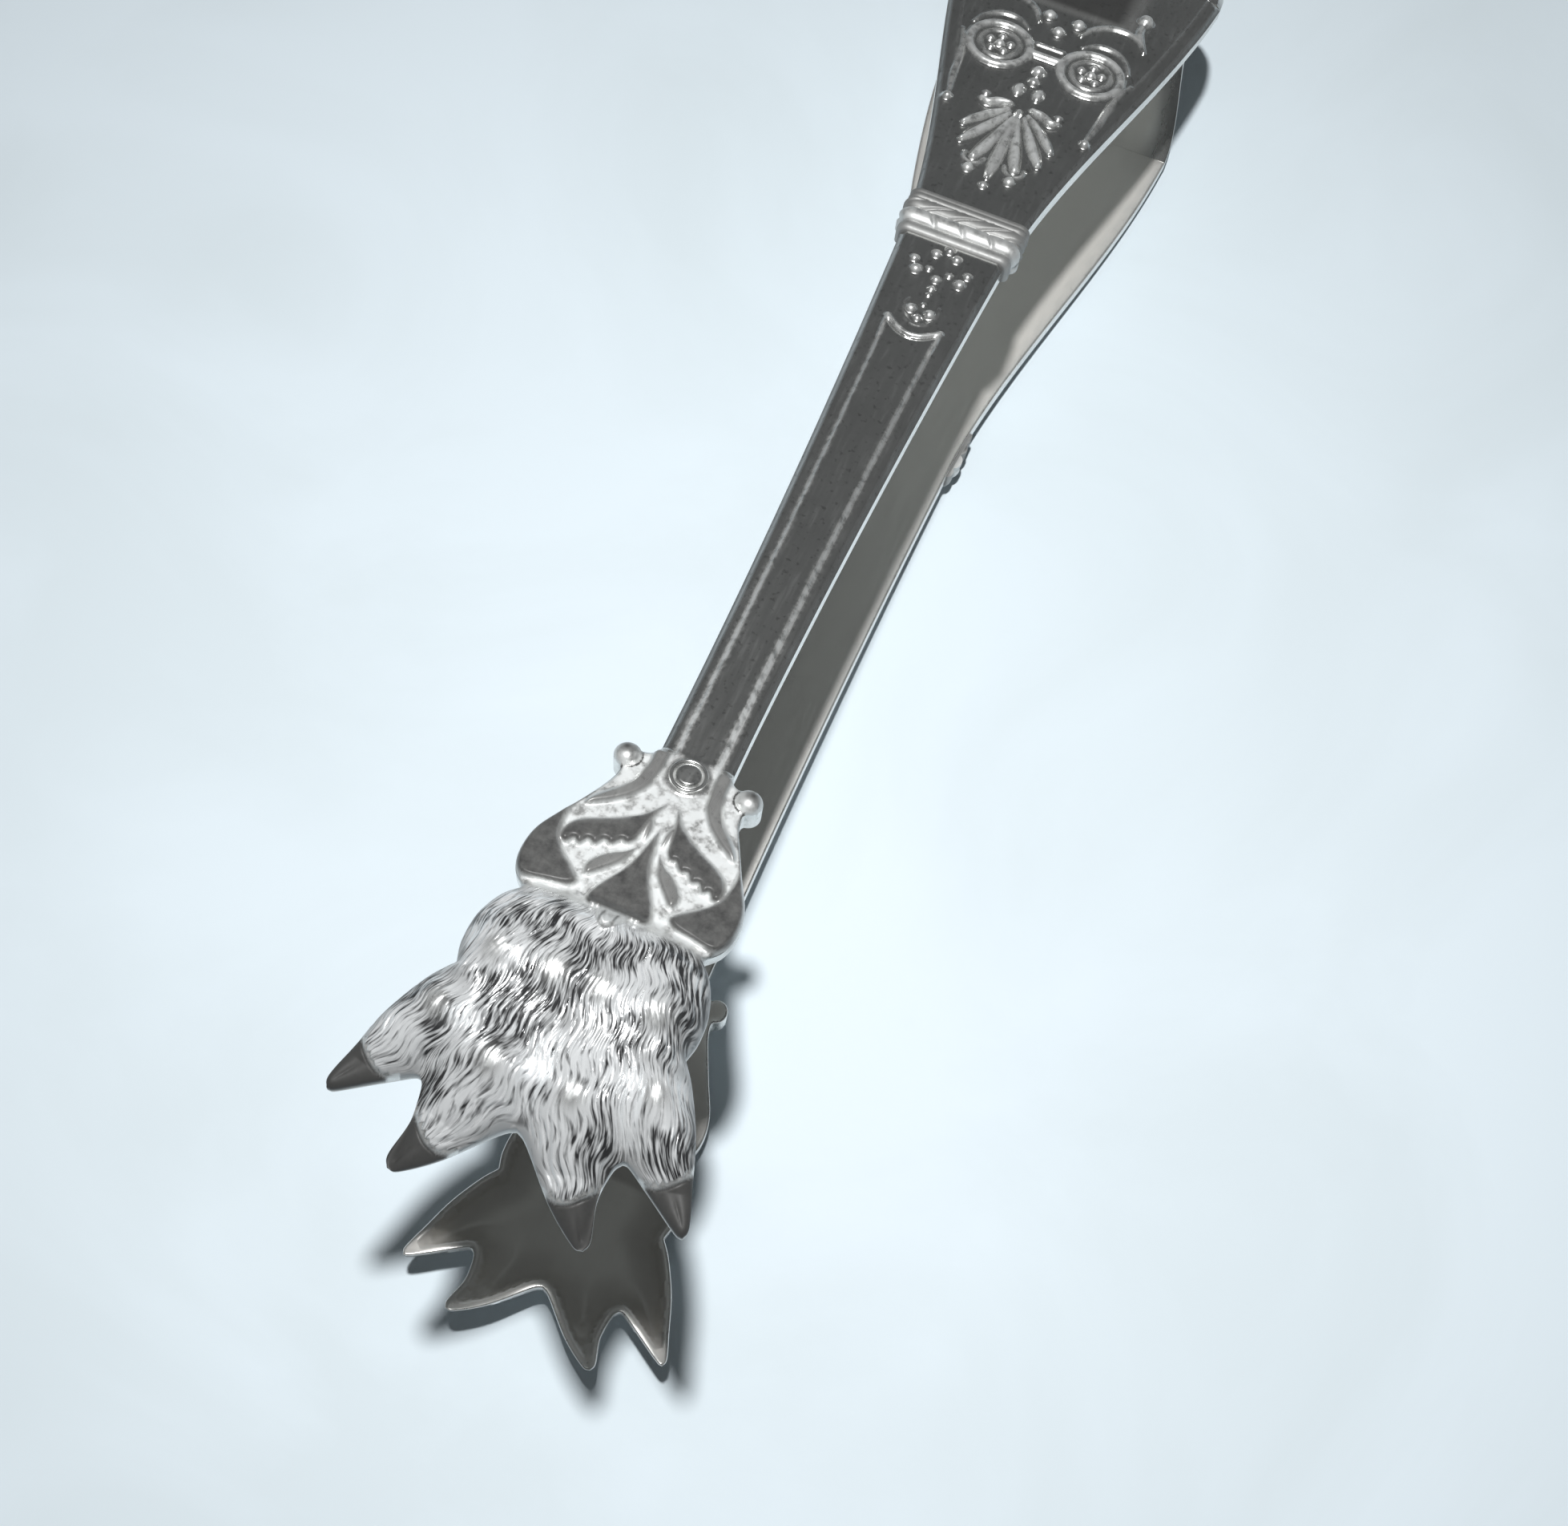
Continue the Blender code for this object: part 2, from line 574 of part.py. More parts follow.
def arm_height(y):
    """Height of the arm's outer face, straight between knee, collar, shoulder and bow."""
    flat_end = shoulder_y() - SHOULDER_FLAT
    stations = [WEB_Y, KNEE_Y, COLLAR_Y, flat_end, shoulder_y()]
    slope = (KNEE_HALF_GAP - COLLAR_HALF_GAP) / KNEE_FROM_COLLAR
    heights = [KNEE_HALF_GAP + slope * PAW_REACH, KNEE_HALF_GAP, COLLAR_HALF_GAP, rest_line(flat_end),
               rest_line(shoulder_y())]
    return np.interp(y, stations, heights)


def rest_line(y):
    """Height of the plane that the tongs lie on, tangent to the bow and touching the paw."""
    return (BOW_RADIUS - y * math.sin(REST_ANGLE)) / math.cos(REST_ANGLE)


def shoulder_y():
    return BOW_RADIUS * math.sin(REST_ANGLE)


def find_rest_angle():
    """The angle between the middle plane and the plane that touches both the bow and the paw."""
    outline = paw_outline()
    places = paw_face_points(outline, seat_lines())
    places = places[places[:, 1] < KNEE_Y - LAP_TAPER]
    heights = KNEE_HALF_GAP + paw_profile(places[:, 1] - WEB_Y) + paw_bulge(places, outline)
    low, high = 0.0, math.radians(30.0)
    for _ in range(40):
        middle = 0.5 * (low + high)
        reach = float(np.max(places[:, 1] * math.sin(middle) + heights * math.cos(middle)))
        low, high = (middle, high) if reach > BOW_RADIUS else (low, middle)
    return high


def arm_half_width(y):
    """Half-width of the arm: a slow taper below the collar, a flare to the shoulder above it."""
    y = np.asarray(y, dtype=float)
    shaft = np.clip((y - LAP_TAPER_Y) / (COLLAR_Y - LAP_TAPER_Y), 0.0, 1.0)
    flare = np.clip((y - COLLAR_Y) / (shoulder_y() - COLLAR_Y), 0.0, 1.0)
    flare = 0.5 * flare + 0.5 * flare ** 2 * (3 - 2 * flare)
    width = KNEE_HALF_WIDTH + (SHAFT_TOP_HALF_WIDTH - KNEE_HALF_WIDTH) * shaft ** 1.6
    return width + (SHOULDER_HALF_WIDTH - SHAFT_TOP_HALF_WIDTH) * flare


def arm_thickness(y):
    """Full thickness up to the collar, then down to the bow's at the shoulder."""
    return np.interp(y, [COLLAR_Y, shoulder_y()], [ARM_THICKNESS, BOW_THICKNESS])


def collar_seat():
    """The lower and the upper end of the collar's seat."""
    half = 0.5 * COLLAR_LENGTH + SEAT_GAP
    return COLLAR_MIDDLE - half, COLLAR_MIDDLE + half


def arm_edges():
    """Stations up the arm's right edge, as pairs of y and half-width, from the knee to the bow."""
    low, high = collar_seat()
    edge = [(y, x) for x, y in lap_path(0.0, LAP_SIDE_Y)[1:]]
    paw_step = PAW_LAP_Y + SEAT_GAP
    bow_step = shoulder_y() - BOW_LAP_LENGTH - SEAT_GAP
    fixed = [paw_step, paw_step + STEP_RUN, low - STEP_RUN, low, high, high + STEP_RUN]
    fixed += [bow_step - STEP_RUN, bow_step, shoulder_y() - SHOULDER_FLAT, shoulder_y()]
    ridge_end = KNEE_Y + RIDGE_LENGTH
    fixed += [ridge_end, ridge_end + RIDGE_SLOPE]
    stations = sorted(fixed)
    filled = []
    for a, b in zip(stations, stations[1:]):
        count = max(1, round((b - a) / ARM_STATION))
        filled += list(np.linspace(a, b, count, endpoint=False))
    filled.append(stations[-1])
    for y in filled:
        width = float(arm_half_width(y))
        if low - 0.1 * STEP_RUN < y < high + 0.1 * STEP_RUN:
            width -= COLLAR_SEAT_DEPTH
        edge.append((y, width))
    return edge


def arm_outline(edge):
    """The arm's outline from its right edge, run from the bow down to the rounded end."""
    half = [(width, y) for y, width in reversed(edge)]
    half.append((0.0, KNEE_Y - LAP_END_RADIUS))
    return both_sides(half)


def row_across(outline, y):
    """The outline's two points at one station, joined by a line across the arm."""
    return [tuple(p) for p in outline if abs(p[1] - y) < 1e-7]


def arm_face_lines(edge, outline):
    """Lines on the arm's outer face: along the bevels and the ridge, and across at each step."""
    low, high = collar_seat()
    stretches = [[p for p in edge if p[0] < low], [p for p in edge if p[0] > high]]
    lines = []
    for side in (-1, 1):
        for stretch in stretches:
            wide = [p for p in stretch[:-1] if p[1] > EDGE_BEVEL]
            lines.append([(side * (w - min(EDGE_BEVEL, 0.45 * w)), y) for y, w in wide])
            lines[-1].append((side * (stretch[-1][1] - EDGE_BEVEL), stretch[-1][0] - 0.5 * STEP_RUN))
        ridge = [p for p in edge if KNEE_Y + RIVET_RING_RADIUS < p[0] <= KNEE_Y + RIDGE_LENGTH + 1e-7]
        lines.append([(side * RIDGE_SHARE * w, y) for y, w in ridge])
        lines.append([(side * (RIDGE_SHARE * w + RIDGE_SLOPE), y) for y, w in ridge])
    for y in (low - STEP_RUN, low, high, high + STEP_RUN):
        lines.append(row_across(outline, y))
    return lines


def arm_face_height(places):
    x, y = np.abs(places[:, 0]), places[:, 1]
    low, high = collar_seat()
    width = np.where(y < LAP_TAPER_Y, lap_half_width(y, 0.0), arm_half_width(y))
    bevel = np.minimum(EDGE_BEVEL, 0.45 * width)
    drop = np.clip(1.0 - (width - x) / np.maximum(bevel, 1e-6), 0.0, 1.0) * 0.9 * bevel
    ridge_end = KNEE_Y + RIDGE_LENGTH
    along = np.clip((y - KNEE_Y - RIVET_RING_RADIUS) / (2 * MM), 0.0, 1.0)
    along = along * np.clip(1.0 - (y - ridge_end) / RIDGE_SLOPE, 0.0, 1.0)
    ridge = RIDGE_HEIGHT * along * np.clip(1.0 - (x - RIDGE_SHARE * width) / RIDGE_SLOPE, 0.0, 1.0)
    in_seat = (y > low - 0.5 * STEP_RUN) & (y < high + 0.5 * STEP_RUN)
    return arm_height(y) + np.where(in_seat, -COLLAR_SEAT_DEPTH, ridge - drop)


def arm_back_height(places):
    y = places[:, 1]
    paw_step = PAW_LAP_Y + SEAT_GAP
    bow_step = shoulder_y() - BOW_LAP_LENGTH - SEAT_GAP
    depth = arm_thickness(y)
    depth = np.where(y < paw_step + 0.5 * STEP_RUN, PAW_LAP_SKIN, depth)
    depth = np.where(y > bow_step - 0.5 * STEP_RUN, BOW_LAP_SKIN, depth)
    return arm_height(y) - depth


def make_arm_mesh(name):
    edge = arm_edges()
    outline = arm_outline(edge)
    paw_step = PAW_LAP_Y + SEAT_GAP
    bow_step = shoulder_y() - BOW_LAP_LENGTH - SEAT_GAP
    steps = (paw_step, paw_step + STEP_RUN, bow_step - STEP_RUN, bow_step)
    back_lines = [row_across(outline, y) for y in steps]
    face = (arm_face_lines(edge, outline), [])
    return plate(name, outline, face, (back_lines, []), arm_face_height, arm_back_height)


# Bow


def bow_section(radius, depth_in, depth_out, half_width, angle, shift):
    """A section of the bow: at an angle round the arc, or shifted along the tangent there."""
    outward = np.array((0.0, math.sin(angle), math.cos(angle)))
    along = np.array((0.0, math.cos(angle), -math.sin(angle)))
    bevel = min(EDGE_BEVEL, 0.45 * (depth_in - depth_out))
    outer = depth_out + bevel
    corners = ((-half_width, depth_in), (half_width, depth_in), (half_width, outer),
               (half_width - bevel, depth_out), (bevel - half_width, depth_out), (-half_width, outer))
    section = []
    for x, depth in corners:
        place = outward * (radius - depth) + along * shift
        section.append((x, place[1], place[2]))
    return section


def make_bow_mesh(name):
    """The bow: an arc between two tongues, each under the outer skin of an arm."""
    start = REST_ANGLE
    gap_angle = SEAT_GAP / BOW_RADIUS
    angles = np.linspace(start + gap_angle, math.pi - start - gap_angle, BOW_STEPS + 1)
    half = [tongue_section(s) for s in (-BOW_LAP_LENGTH, -0.5 * BOW_LAP_LENGTH, 0.0)]
    sections = half + [tongue_section_at(angles[0] - STEP_RUN / BOW_RADIUS)]
    for angle in angles:
        crown = math.sin(math.pi * (angle - angles[0]) / (angles[-1] - angles[0]))
        width = SHOULDER_HALF_WIDTH + (CROWN_HALF_WIDTH - SHOULDER_HALF_WIDTH) * crown ** 2
        thickness = BOW_THICKNESS + (CROWN_THICKNESS - BOW_THICKNESS) * crown
        sections.append(bow_section(BOW_RADIUS, thickness, 0.0, width, angle, 0.0))
    lower = []
    for section in reversed(sections[:4]):
        lower.append([(x, y, -z) for x, y, z in section])
    sections += lower
    verts, faces = tube_of_sections(sections)
    return make_mesh(name, verts, faces)


def tongue_section(shift):
    width = float(arm_half_width(shoulder_y() + min(shift, 0.0)))
    return bow_section(BOW_RADIUS, BOW_THICKNESS, BOW_LAP_SKIN + SEAT_GAP, width, REST_ANGLE, shift)


def tongue_section_at(angle):
    return bow_section(BOW_RADIUS, BOW_THICKNESS, BOW_LAP_SKIN + SEAT_GAP, SHOULDER_HALF_WIDTH, angle, 0.0)


# Collar


def reed_profile():
    """Places along the collar over half-round reeds: place, height, sideways lean, twisted or not."""
    scale = COLLAR_LENGTH / sum(width for width, _ in REEDS)
    tallest = max(width for width, _ in REEDS)
    start, lean = -0.5 * COLLAR_LENGTH, 0.0
    places = [(start, 0.0, 0.0, False)]
    for width, slope in REEDS:
        for step in range(1, REED_STEPS + 1):
            angle = math.pi * step / REED_STEPS
            run = 0.5 * width * scale * (1 - math.cos(angle))
            rise = REED_HEIGHT * math.sin(angle) * (0.6 + 0.4 * width / tallest)
            places.append((start + run, max(rise, 0.0), lean + slope * run, slope != 0.0))
        start += width * scale
        lean += slope * width * scale
    return [(along, rise, aside - 0.5 * lean, twisted) for along, rise, aside, twisted in places]


def twist_share(column):
    """Share of a twisted reed's height that its notches leave at one column."""
    place = (column + TWIST_COLUMNS // 2) % TWIST_COLUMNS
    near = min(place, TWIST_COLUMNS - place)
    return 1.0 - TWIST_NOTCH * max(0.0, 1.0 - near / 1.5)


def collar_path(y, lean):
    """Places, outward directions and twist columns across the arm, from cheek to cheek."""
    half = float(arm_half_width(y)) - COLLAR_SEAT_DEPTH + 0.8 * SEAT_GAP
    top = float(arm_height(y)) - COLLAR_SEAT_DEPTH + 0.8 * SEAT_GAP
    foot = float(arm_height(y) - arm_thickness(y))
    corner = [((half, foot), (1.0, 0.0), 0), ((half, top - STEP_RUN), (1.0, 0.0), 0)]
    for step in (1, 2):
        angle = math.pi / 2 * step / 3
        corner.append(((half, top), (math.cos(angle), math.sin(angle)), 0))
    count = round(SHAFT_TOP_HALF_WIDTH / TWIST_COLUMN)
    flat = []
    for column in range(2 * count + 1):
        share = 1.0 - column / count
        aside = (half - STEP_RUN) * share + lean * (1.0 - share ** 2)
        flat.append(((aside, top), (0.0, 1.0), column))
    return corner + flat + [((-x, z), (-dx, dz), 0) for (x, z), (dx, dz), _ in reversed(corner)]


def make_collar_mesh(name):
    """A band of reeds, two of them twisted, over the arm's outer face and down both its edges."""
    rows = []
    for along, rise, lean, twisted in reed_profile():
        y = COLLAR_MIDDLE + along
        row = []
        for (x, z), (dx, dz), column in collar_path(y, lean):
            height = COLLAR_PLATE + rise * (twist_share(column) if twisted else 1.0)
            row.append((x + dx * height, y, z + dz * height))
        rows.append(row)
    for along in (0.5 * COLLAR_LENGTH, -0.5 * COLLAR_LENGTH):
        y = COLLAR_MIDDLE + along
        rows.append([(x, y, z) for (x, z), _, _ in collar_path(y, 0.0)])
    verts, faces = tube_of_sections([list(section) for section in zip(*rows)])
    return make_mesh(name, verts, faces)


# Rivet


def rivet_profile():
    """Radius and height from the pin's end up to the top of the dome, over the arm's face."""
    seat = SEAT_GAP
    rim = seat + RIVET_RIM_HEIGHT
    profile = [(RIVET_RADIUS, -ARM_THICKNESS), (RIVET_RADIUS, seat), (RIVET_RING_RADIUS, seat),
               (RIVET_RING_RADIUS, seat + 0.5 * RIVET_RIM_HEIGHT), (RIVET_RING_RADIUS - RIVET_GROOVE, rim),
               (RIVET_DOME_RADIUS + RIVET_GROOVE, rim), (RIVET_DOME_RADIUS, rim - RIVET_GROOVE)]
    for angle in np.radians((20, 45, 70)):
        height = rim - RIVET_GROOVE + RIVET_DOME_HEIGHT * math.sin(angle)
        profile.append((RIVET_DOME_RADIUS * math.cos(angle), height))
    return profile


def make_rivet_mesh(name):
    profile = rivet_profile()
    sections = []
    for radius, height in profile:
        turn = np.linspace(0.0, 2 * math.pi, RIVET_SIDES, endpoint=False)
        sections.append([(radius * math.cos(a), radius * math.sin(a), height) for a in turn])
    verts, faces = tube_of_sections(sections)
    mesh = make_mesh(name, verts, faces)
    mesh.transform(knee_placement())
    return mesh


def knee_placement():
    """Places a body made about the origin square on the arm's outer face at the knee."""
    slope = math.atan2(KNEE_HALF_GAP - COLLAR_HALF_GAP, KNEE_FROM_COLLAR)
    return Matrix.Translation((0.0, KNEE_Y, KNEE_HALF_GAP)) @ Matrix.Rotation(-slope, 4, "X")


def make_hole_mesh(name):
    """The cutter of the rivet's hole."""
    work = bmesh.new()
    bmesh.ops.create_cone(work, cap_ends=True, segments=RIVET_SIDES, radius1=RIVET_RADIUS + RIVET_CLEARANCE,
                          radius2=RIVET_RADIUS + RIVET_CLEARANCE, depth=4 * ARM_THICKNESS)
    mesh = bpy.data.meshes.new(name)
    work.to_mesh(mesh)
    work.free()
    mesh.transform(knee_placement())
    return mesh


# Assembly


def make_material(name, look):
    colour, roughness, metallic = look
    material = bpy.data.materials.new(name)
    material.use_nodes = True
    shader = material.node_tree.nodes["Principled BSDF"]
    shader.inputs["Base Color"].default_value = colour
    shader.inputs["Roughness"].default_value = roughness
    shader.inputs["Metallic"].default_value = metallic
    return material


def mirrored(mesh, name):
    """A copy on the other side of the middle plane."""
    copy = mesh.copy()
    copy.name = name
    copy.transform(Matrix.Scale(-1.0, 4, Vector((0.0, 0.0, 1.0))))
    copy.flip_normals()
    return copy


def add_object(name, mesh, parent, look=None):
    item = bpy.data.objects.new(name, mesh)
    bpy.context.scene.collection.objects.link(item)
    item.parent = parent
    if look:
        mesh.materials.append(make_material(name, look))
        mesh.shade_smooth()
        mesh.set_sharp_from_angle(angle=math.radians(32))
    return item


def add_empty(name, parent):
    item = bpy.data.objects.new(name, None)
    item.empty_display_size = 5 * MM
    bpy.context.scene.collection.objects.link(item)
    item.parent = parent
    return item


def cut_hole(item, cutter):
    cut = item.modifiers.new("rivet_hole", "BOOLEAN")
    cut.operation = "DIFFERENCE"
    cut.solver = "EXACT"
    cut.object = cutter


def add_arm_set(side, hinge, meshes):
    """One arm with its paw, collar and rivet, under the empty on its joint's axis."""
    cutter = add_object(side + "_rivet_cutter", meshes["hole"], hinge)
    cutter.hide_render = True
    cutter.display_type = "WIRE"
    looks = {"arm": SILVER, "paw": SILVER_CAST, "collar": SILVER_BAND, "rivet": SILVER_RIVET}
    for part, look in looks.items():
        item = add_object(side + "_" + part, meshes[part], hinge, look)
        if part in ("arm", "paw"):
            cut_hole(item, cutter)


def centre_on_length(frame, meshes):
    """Places the frame so that the tongs lie on the plane z = 0 with x and y centred."""
    turn = Matrix.Rotation(-REST_ANGLE, 3, "X")
    ys = [(turn @ v.co).y for mesh in meshes for v in mesh.vertices]
    frame.rotation_euler = (-REST_ANGLE, 0.0, 0.0)
    frame.location = (0.0, -0.5 * (min(ys) + max(ys)), BOW_RADIUS)


def main():
    clear_scene()
    makers = {"arm": make_arm_mesh, "paw": make_paw_mesh, "collar": make_collar_mesh, "rivet": make_rivet_mesh,
              "hole": make_hole_mesh}
    upper = {part: maker("upper_" + part) for part, maker in makers.items()}
    lower = {part: mirrored(mesh, "lower_" + part) for part, mesh in upper.items()}
    bow = make_bow_mesh("bow_spring")
    frame = add_empty("tongs_frame", None)
    centre_on_length(frame, [bow, upper["paw"], lower["paw"]])
    add_object("bow_spring", bow, frame, SILVER)
    add_arm_set("upper", add_empty("upper_hinge", frame), upper)
    add_arm_set("lower", add_empty("lower_hinge", frame), lower)


REST_ANGLE = 0.0
REST_ANGLE = find_rest_angle()
main()
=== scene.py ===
"""The looks of the sugar tongs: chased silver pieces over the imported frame, on a pale table.

All shapes are made in millimetres in the tongs' own frame: y = 0 at the web between the middle toes, y grows
towards the bow, x runs across, and z is the distance from the plane midway between the arms. The upper side is
made once, and the lower side is its mirror image.
"""

import json
import math

import bpy
import numpy as np
from mathutils import Matrix, Vector
from mathutils.geometry import delaunay_2d_cdt


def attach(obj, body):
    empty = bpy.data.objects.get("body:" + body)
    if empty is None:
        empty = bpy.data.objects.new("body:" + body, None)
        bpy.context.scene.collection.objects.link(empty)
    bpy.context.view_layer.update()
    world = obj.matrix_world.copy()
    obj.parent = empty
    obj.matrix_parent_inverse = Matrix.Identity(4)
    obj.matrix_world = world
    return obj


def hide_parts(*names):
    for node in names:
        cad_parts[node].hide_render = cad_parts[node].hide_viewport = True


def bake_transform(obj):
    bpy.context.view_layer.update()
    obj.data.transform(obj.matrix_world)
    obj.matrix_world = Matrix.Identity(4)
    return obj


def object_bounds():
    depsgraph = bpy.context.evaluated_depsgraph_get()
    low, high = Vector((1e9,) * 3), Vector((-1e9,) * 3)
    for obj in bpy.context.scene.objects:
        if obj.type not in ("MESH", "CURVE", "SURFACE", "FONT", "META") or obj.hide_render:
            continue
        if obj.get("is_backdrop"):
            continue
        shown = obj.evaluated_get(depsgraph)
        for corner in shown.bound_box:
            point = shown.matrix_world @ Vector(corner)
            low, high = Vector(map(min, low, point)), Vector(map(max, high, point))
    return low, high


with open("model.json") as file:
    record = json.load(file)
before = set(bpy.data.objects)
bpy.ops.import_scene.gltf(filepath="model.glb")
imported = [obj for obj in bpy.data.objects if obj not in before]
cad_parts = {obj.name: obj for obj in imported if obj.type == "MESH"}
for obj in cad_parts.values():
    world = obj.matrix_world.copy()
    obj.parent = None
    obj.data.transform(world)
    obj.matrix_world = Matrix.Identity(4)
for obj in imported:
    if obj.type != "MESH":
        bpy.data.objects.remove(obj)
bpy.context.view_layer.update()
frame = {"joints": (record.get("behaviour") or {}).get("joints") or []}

MM = 0.001
RNG = np.random.default_rng(7)
CREASE = math.radians(75.0)

# Sizes that the frame shares
REST_ANGLE = math.radians(9.6421)
PIVOT = np.array(frame["joints"][0]["pos_m"]) / MM
BOW_Y = 115.3
KNEE_Y = 25.05
COLLAR_Y = 79.55
BOW_RADIUS = 10.6
COLLAR_HALF_GAP = 15.3
KNEE_HALF_GAP = 21.9
KNEE_HALF_WIDTH = 2.5
SHAFT_TOP_HALF_WIDTH = 4.35
SHOULDER_HALF_WIDTH = 11.8
CROWN_HALF_WIDTH = 9.6
SHOULDER_FLAT = 7.0
ARM_THICKNESS = 2.0
BOW_THICKNESS = 1.5
CROWN_THICKNESS = 1.2
EDGE_BEVEL = 0.5
RIDGE_SHARE = 0.5
RIDGE_HEIGHT = 0.3
RIDGE_SLOPE = 0.35
PANEL_END = 67.4
ORNATE_ZONES = (66.0, 77.8), (84.2, 112.2)
VOLUTE = (4.05, 102.0)
RIM_LINE = 1.25
# Strength of the painted highlights on the panel's slopes, over y
SLOPE_HIGHLIGHT = (26, 30, 36, 48, 66), (0.95, 0.85, 0.6, 0.4, 0.3)
SEAM_Y = 26.8
SEAM_POINTS = (0.0, 0.4, 0.8, 1.1, 1.24, 1.34, 1.44, 1.54, 1.64, 1.9, 2.15, 2.35)
COLLAR_LENGTH = 4.9
COLLAR_MIDDLE = 80.05

PAW_DOME = 2.6
PAW_DOME_REACH = 3.4
PAW_WALL = 1.2
PAW_RIM = 1.1
LEAST_WALL = 0.45
TALON_TIP_RIM = 0.6
KNUCKLE_HEIGHT = 0.7
KNUCKLE_RADIUS = 1.7
TOE_FALL = 0.05
TOE_FALL_START = 2.2
TOE_VALLEY = 0.8
BALL = (4.14, 25.02, 0.92)

CALYX_SIDE = ((4.15, 23.75), (4.45, 22.6), (5.65, 19.95), (6.85, 17.45), (7.1, 15.7), (6.75, 14.2), (5.85, 13.15))
FUR_SIDE = ((5.85, 13.15), (6.75, 12.1), (7.45, 10.4), (7.55, 8.6), (7.25, 7.25))
OUTER_TOE_SIDE = ((7.25, 7.25), (8.3, 5.8), (9.6, 3.3), (10.55, 0.6), (11.2, -1.35), (11.05, -1.98))
OUTER_TOE_INSIDE = ((11.05, -1.98), (10.5, -1.85), (8.3, -0.5), (6.75, 0.45), (6.3, 0.5))
INNER_TOE_SIDE = ((6.3, 0.5), (5.95, -0.1), (5.8, -1.9), (6.3, -3.9), (6.1, -4.55))
INNER_TOE_INSIDE = ((6.1, -4.55), (5.4, -4.5), (3.3, -3.05), (0.8, -0.6), (0.0, -0.1))
LEVEL = ((-6.0, 22.0), (-3.0, 23.6), (0.0, 24.6), (6.0, 25.2), (13.0, 25.0), (18.0, 23.8), (25.05, 21.9),
         (30.0, 21.3), (40.0, 20.084))
KNUCKLES = ((1.45, 8.7), (5.05, 8.6), (2.5, 2.4), (6.8, 4.4))
TALON_BASES = (((7.5, -0.2), (8.05, -0.3), (8.7, -0.25), (9.4, 0.15), (10.0, 0.8), (10.5, 1.6), (10.8, 2.3)),
               ((2.3, -2.55), (2.95, -2.75), (3.7, -2.95), (4.5, -2.75), (5.2, -2.1), (5.7, -1.5), (6.2, -0.9)))

# Columns of the fur's flow on the right half, as pairs of y and x
FLOW = (((14, 0), (2, 0), (0.5, 0.05), (-0.6, 0.9), (-3.0, 3.3), (-4.5, 5.4)),
        ((14, 0.7), (10.5, 1.5), (7.5, 2.0), (4, 2.7), (0.5, 3.9), (-2.6, 4.9), (-4.5, 5.7)),
        ((14, 2.0), (10, 3.5), (7, 4.3), (3.5, 5.1), (0.7, 5.9), (-0.5, 5.95), (-2, 6.0), (-4.5, 6.2)),
        ((14, 2.1), (10, 3.55), (7, 4.35), (3.5, 5.2), (0.9, 6.4), (0.45, 6.75), (-0.5, 8.3), (-1.85, 10.5)),
        ((14, 3.3), (10.8, 5.0), (8, 5.9), (5, 6.9), (2, 8.3), (0.2, 9.4), (-1.5, 10.9)),
        ((14, 5.2), (12.1, 6.75), (10.4, 7.45), (8.6, 7.6), (7.25, 7.5), (5.8, 8.3), (3.3, 9.6), (0.6, 10.55),
         (-1.35, 11.2)))

LOBE = ((4.35, 22.9), (4.95, 21.3), (5.5, 19.6), (5.35, 17.7), (4.7, 16.6), (3.7, 15.7), (2.95, 14.9), (3.4, 14.25),
        (4.8, 13.95), (5.9, 13.75), (6.55, 14.0), (7.1, 15.2), (7.0, 17.2), (6.2, 19.0), (5.3, 20.9))
LEAF = ((0.0, 20.6), (0.28, 19.4), (0.55, 18.0), (0.95, 16.8), (1.75, 15.3), (2.12, 14.3), (1.9, 13.6), (1.35, 13.35),
        (1.05, 13.5), (0.95, 13.0), (0.62, 12.3), (0.0, 11.75))
FINGERS = (
    (((1.62, 28.0), (1.62, 25.8), (1.68, 24.4), (1.85, 23.3), (2.4, 22.3), (3.2, 21.45), (4.1, 20.75), (4.95, 20.3),
      (4.85, 20.95), (4.2, 21.8), (3.5, 22.6), (3.05, 23.4), (2.85, 24.2), (2.7, 25.3), (2.9, 28.0)), 0.42, 0.42),
    (((0.36, 22.6), (0.95, 21.75), (1.6, 21.0), (2.9, 20.1), (4.5, 19.25), (5.25, 18.4), (5.35, 17.3), (4.8, 17.05),
      (4.45, 17.5), (4.05, 17.25), (3.65, 17.8), (3.15, 17.65), (2.75, 18.2), (2.25, 18.1), (1.8, 18.65),
      (1.4, 18.6), (0.98, 19.2), (0.8, 20.2), (0.6, 21.4)), 0.6, 0.75),
    (((0.66, 18.8), (1.35, 18.15), (2.4, 17.4), (3.1, 16.3), (2.75, 15.45), (1.95, 16.2), (1.1, 17.3)), 0.44, 0.5),
    (((0.95, 21.0), (0.9, 20.2), (0.6, 19.3), (0.42, 20.2), (0.62, 21.0)), 0.4, 0.25),
)

# Colours, lamp, camera and its axes to the right, down and ahead
SILVER = (0.82, 0.825, 0.81)
RUBBED = (0.86, 0.87, 0.86)
PIT = (0.16, 0.16, 0.155)
PATINA = (0.065, 0.065, 0.065), (0.15, 0.151, 0.147)
INNER = (0.75, 0.73, 0.69)
HAIR = (0.04, 0.041, 0.043), (0.8, 0.82, 0.83)
# The dark colour serves tarnish and painted shade, the pale one matte deposit and painted highlights
TARNISH_AND_SHADE = (0.03, 0.03, 0.029)
PALE = (0.62, 0.64, 0.64)
STRANDS_ACROSS, STRANDS_ALONG = 12.5, 0.85
SWAY, SWAY_LENGTH = 0.15, 2.9
TABLE = (0.36, (0.745, 0.835, 0.885)), (0.6, (0.79, 0.885, 0.945))
SKY = (0.02, (0.12, 0.123, 0.124)), (0.28, (0.07, 0.0735, 0.0745))
LAMP_PLACE = (0.0021, -0.020, 0.248)
LAMP_SIZE, LAMP_WATTS = 0.009, 0.61
PHOTO_FOCAL, PHOTO_WIDTH, SENSOR_WIDTH = 2500.0, 1957.0, 36.0
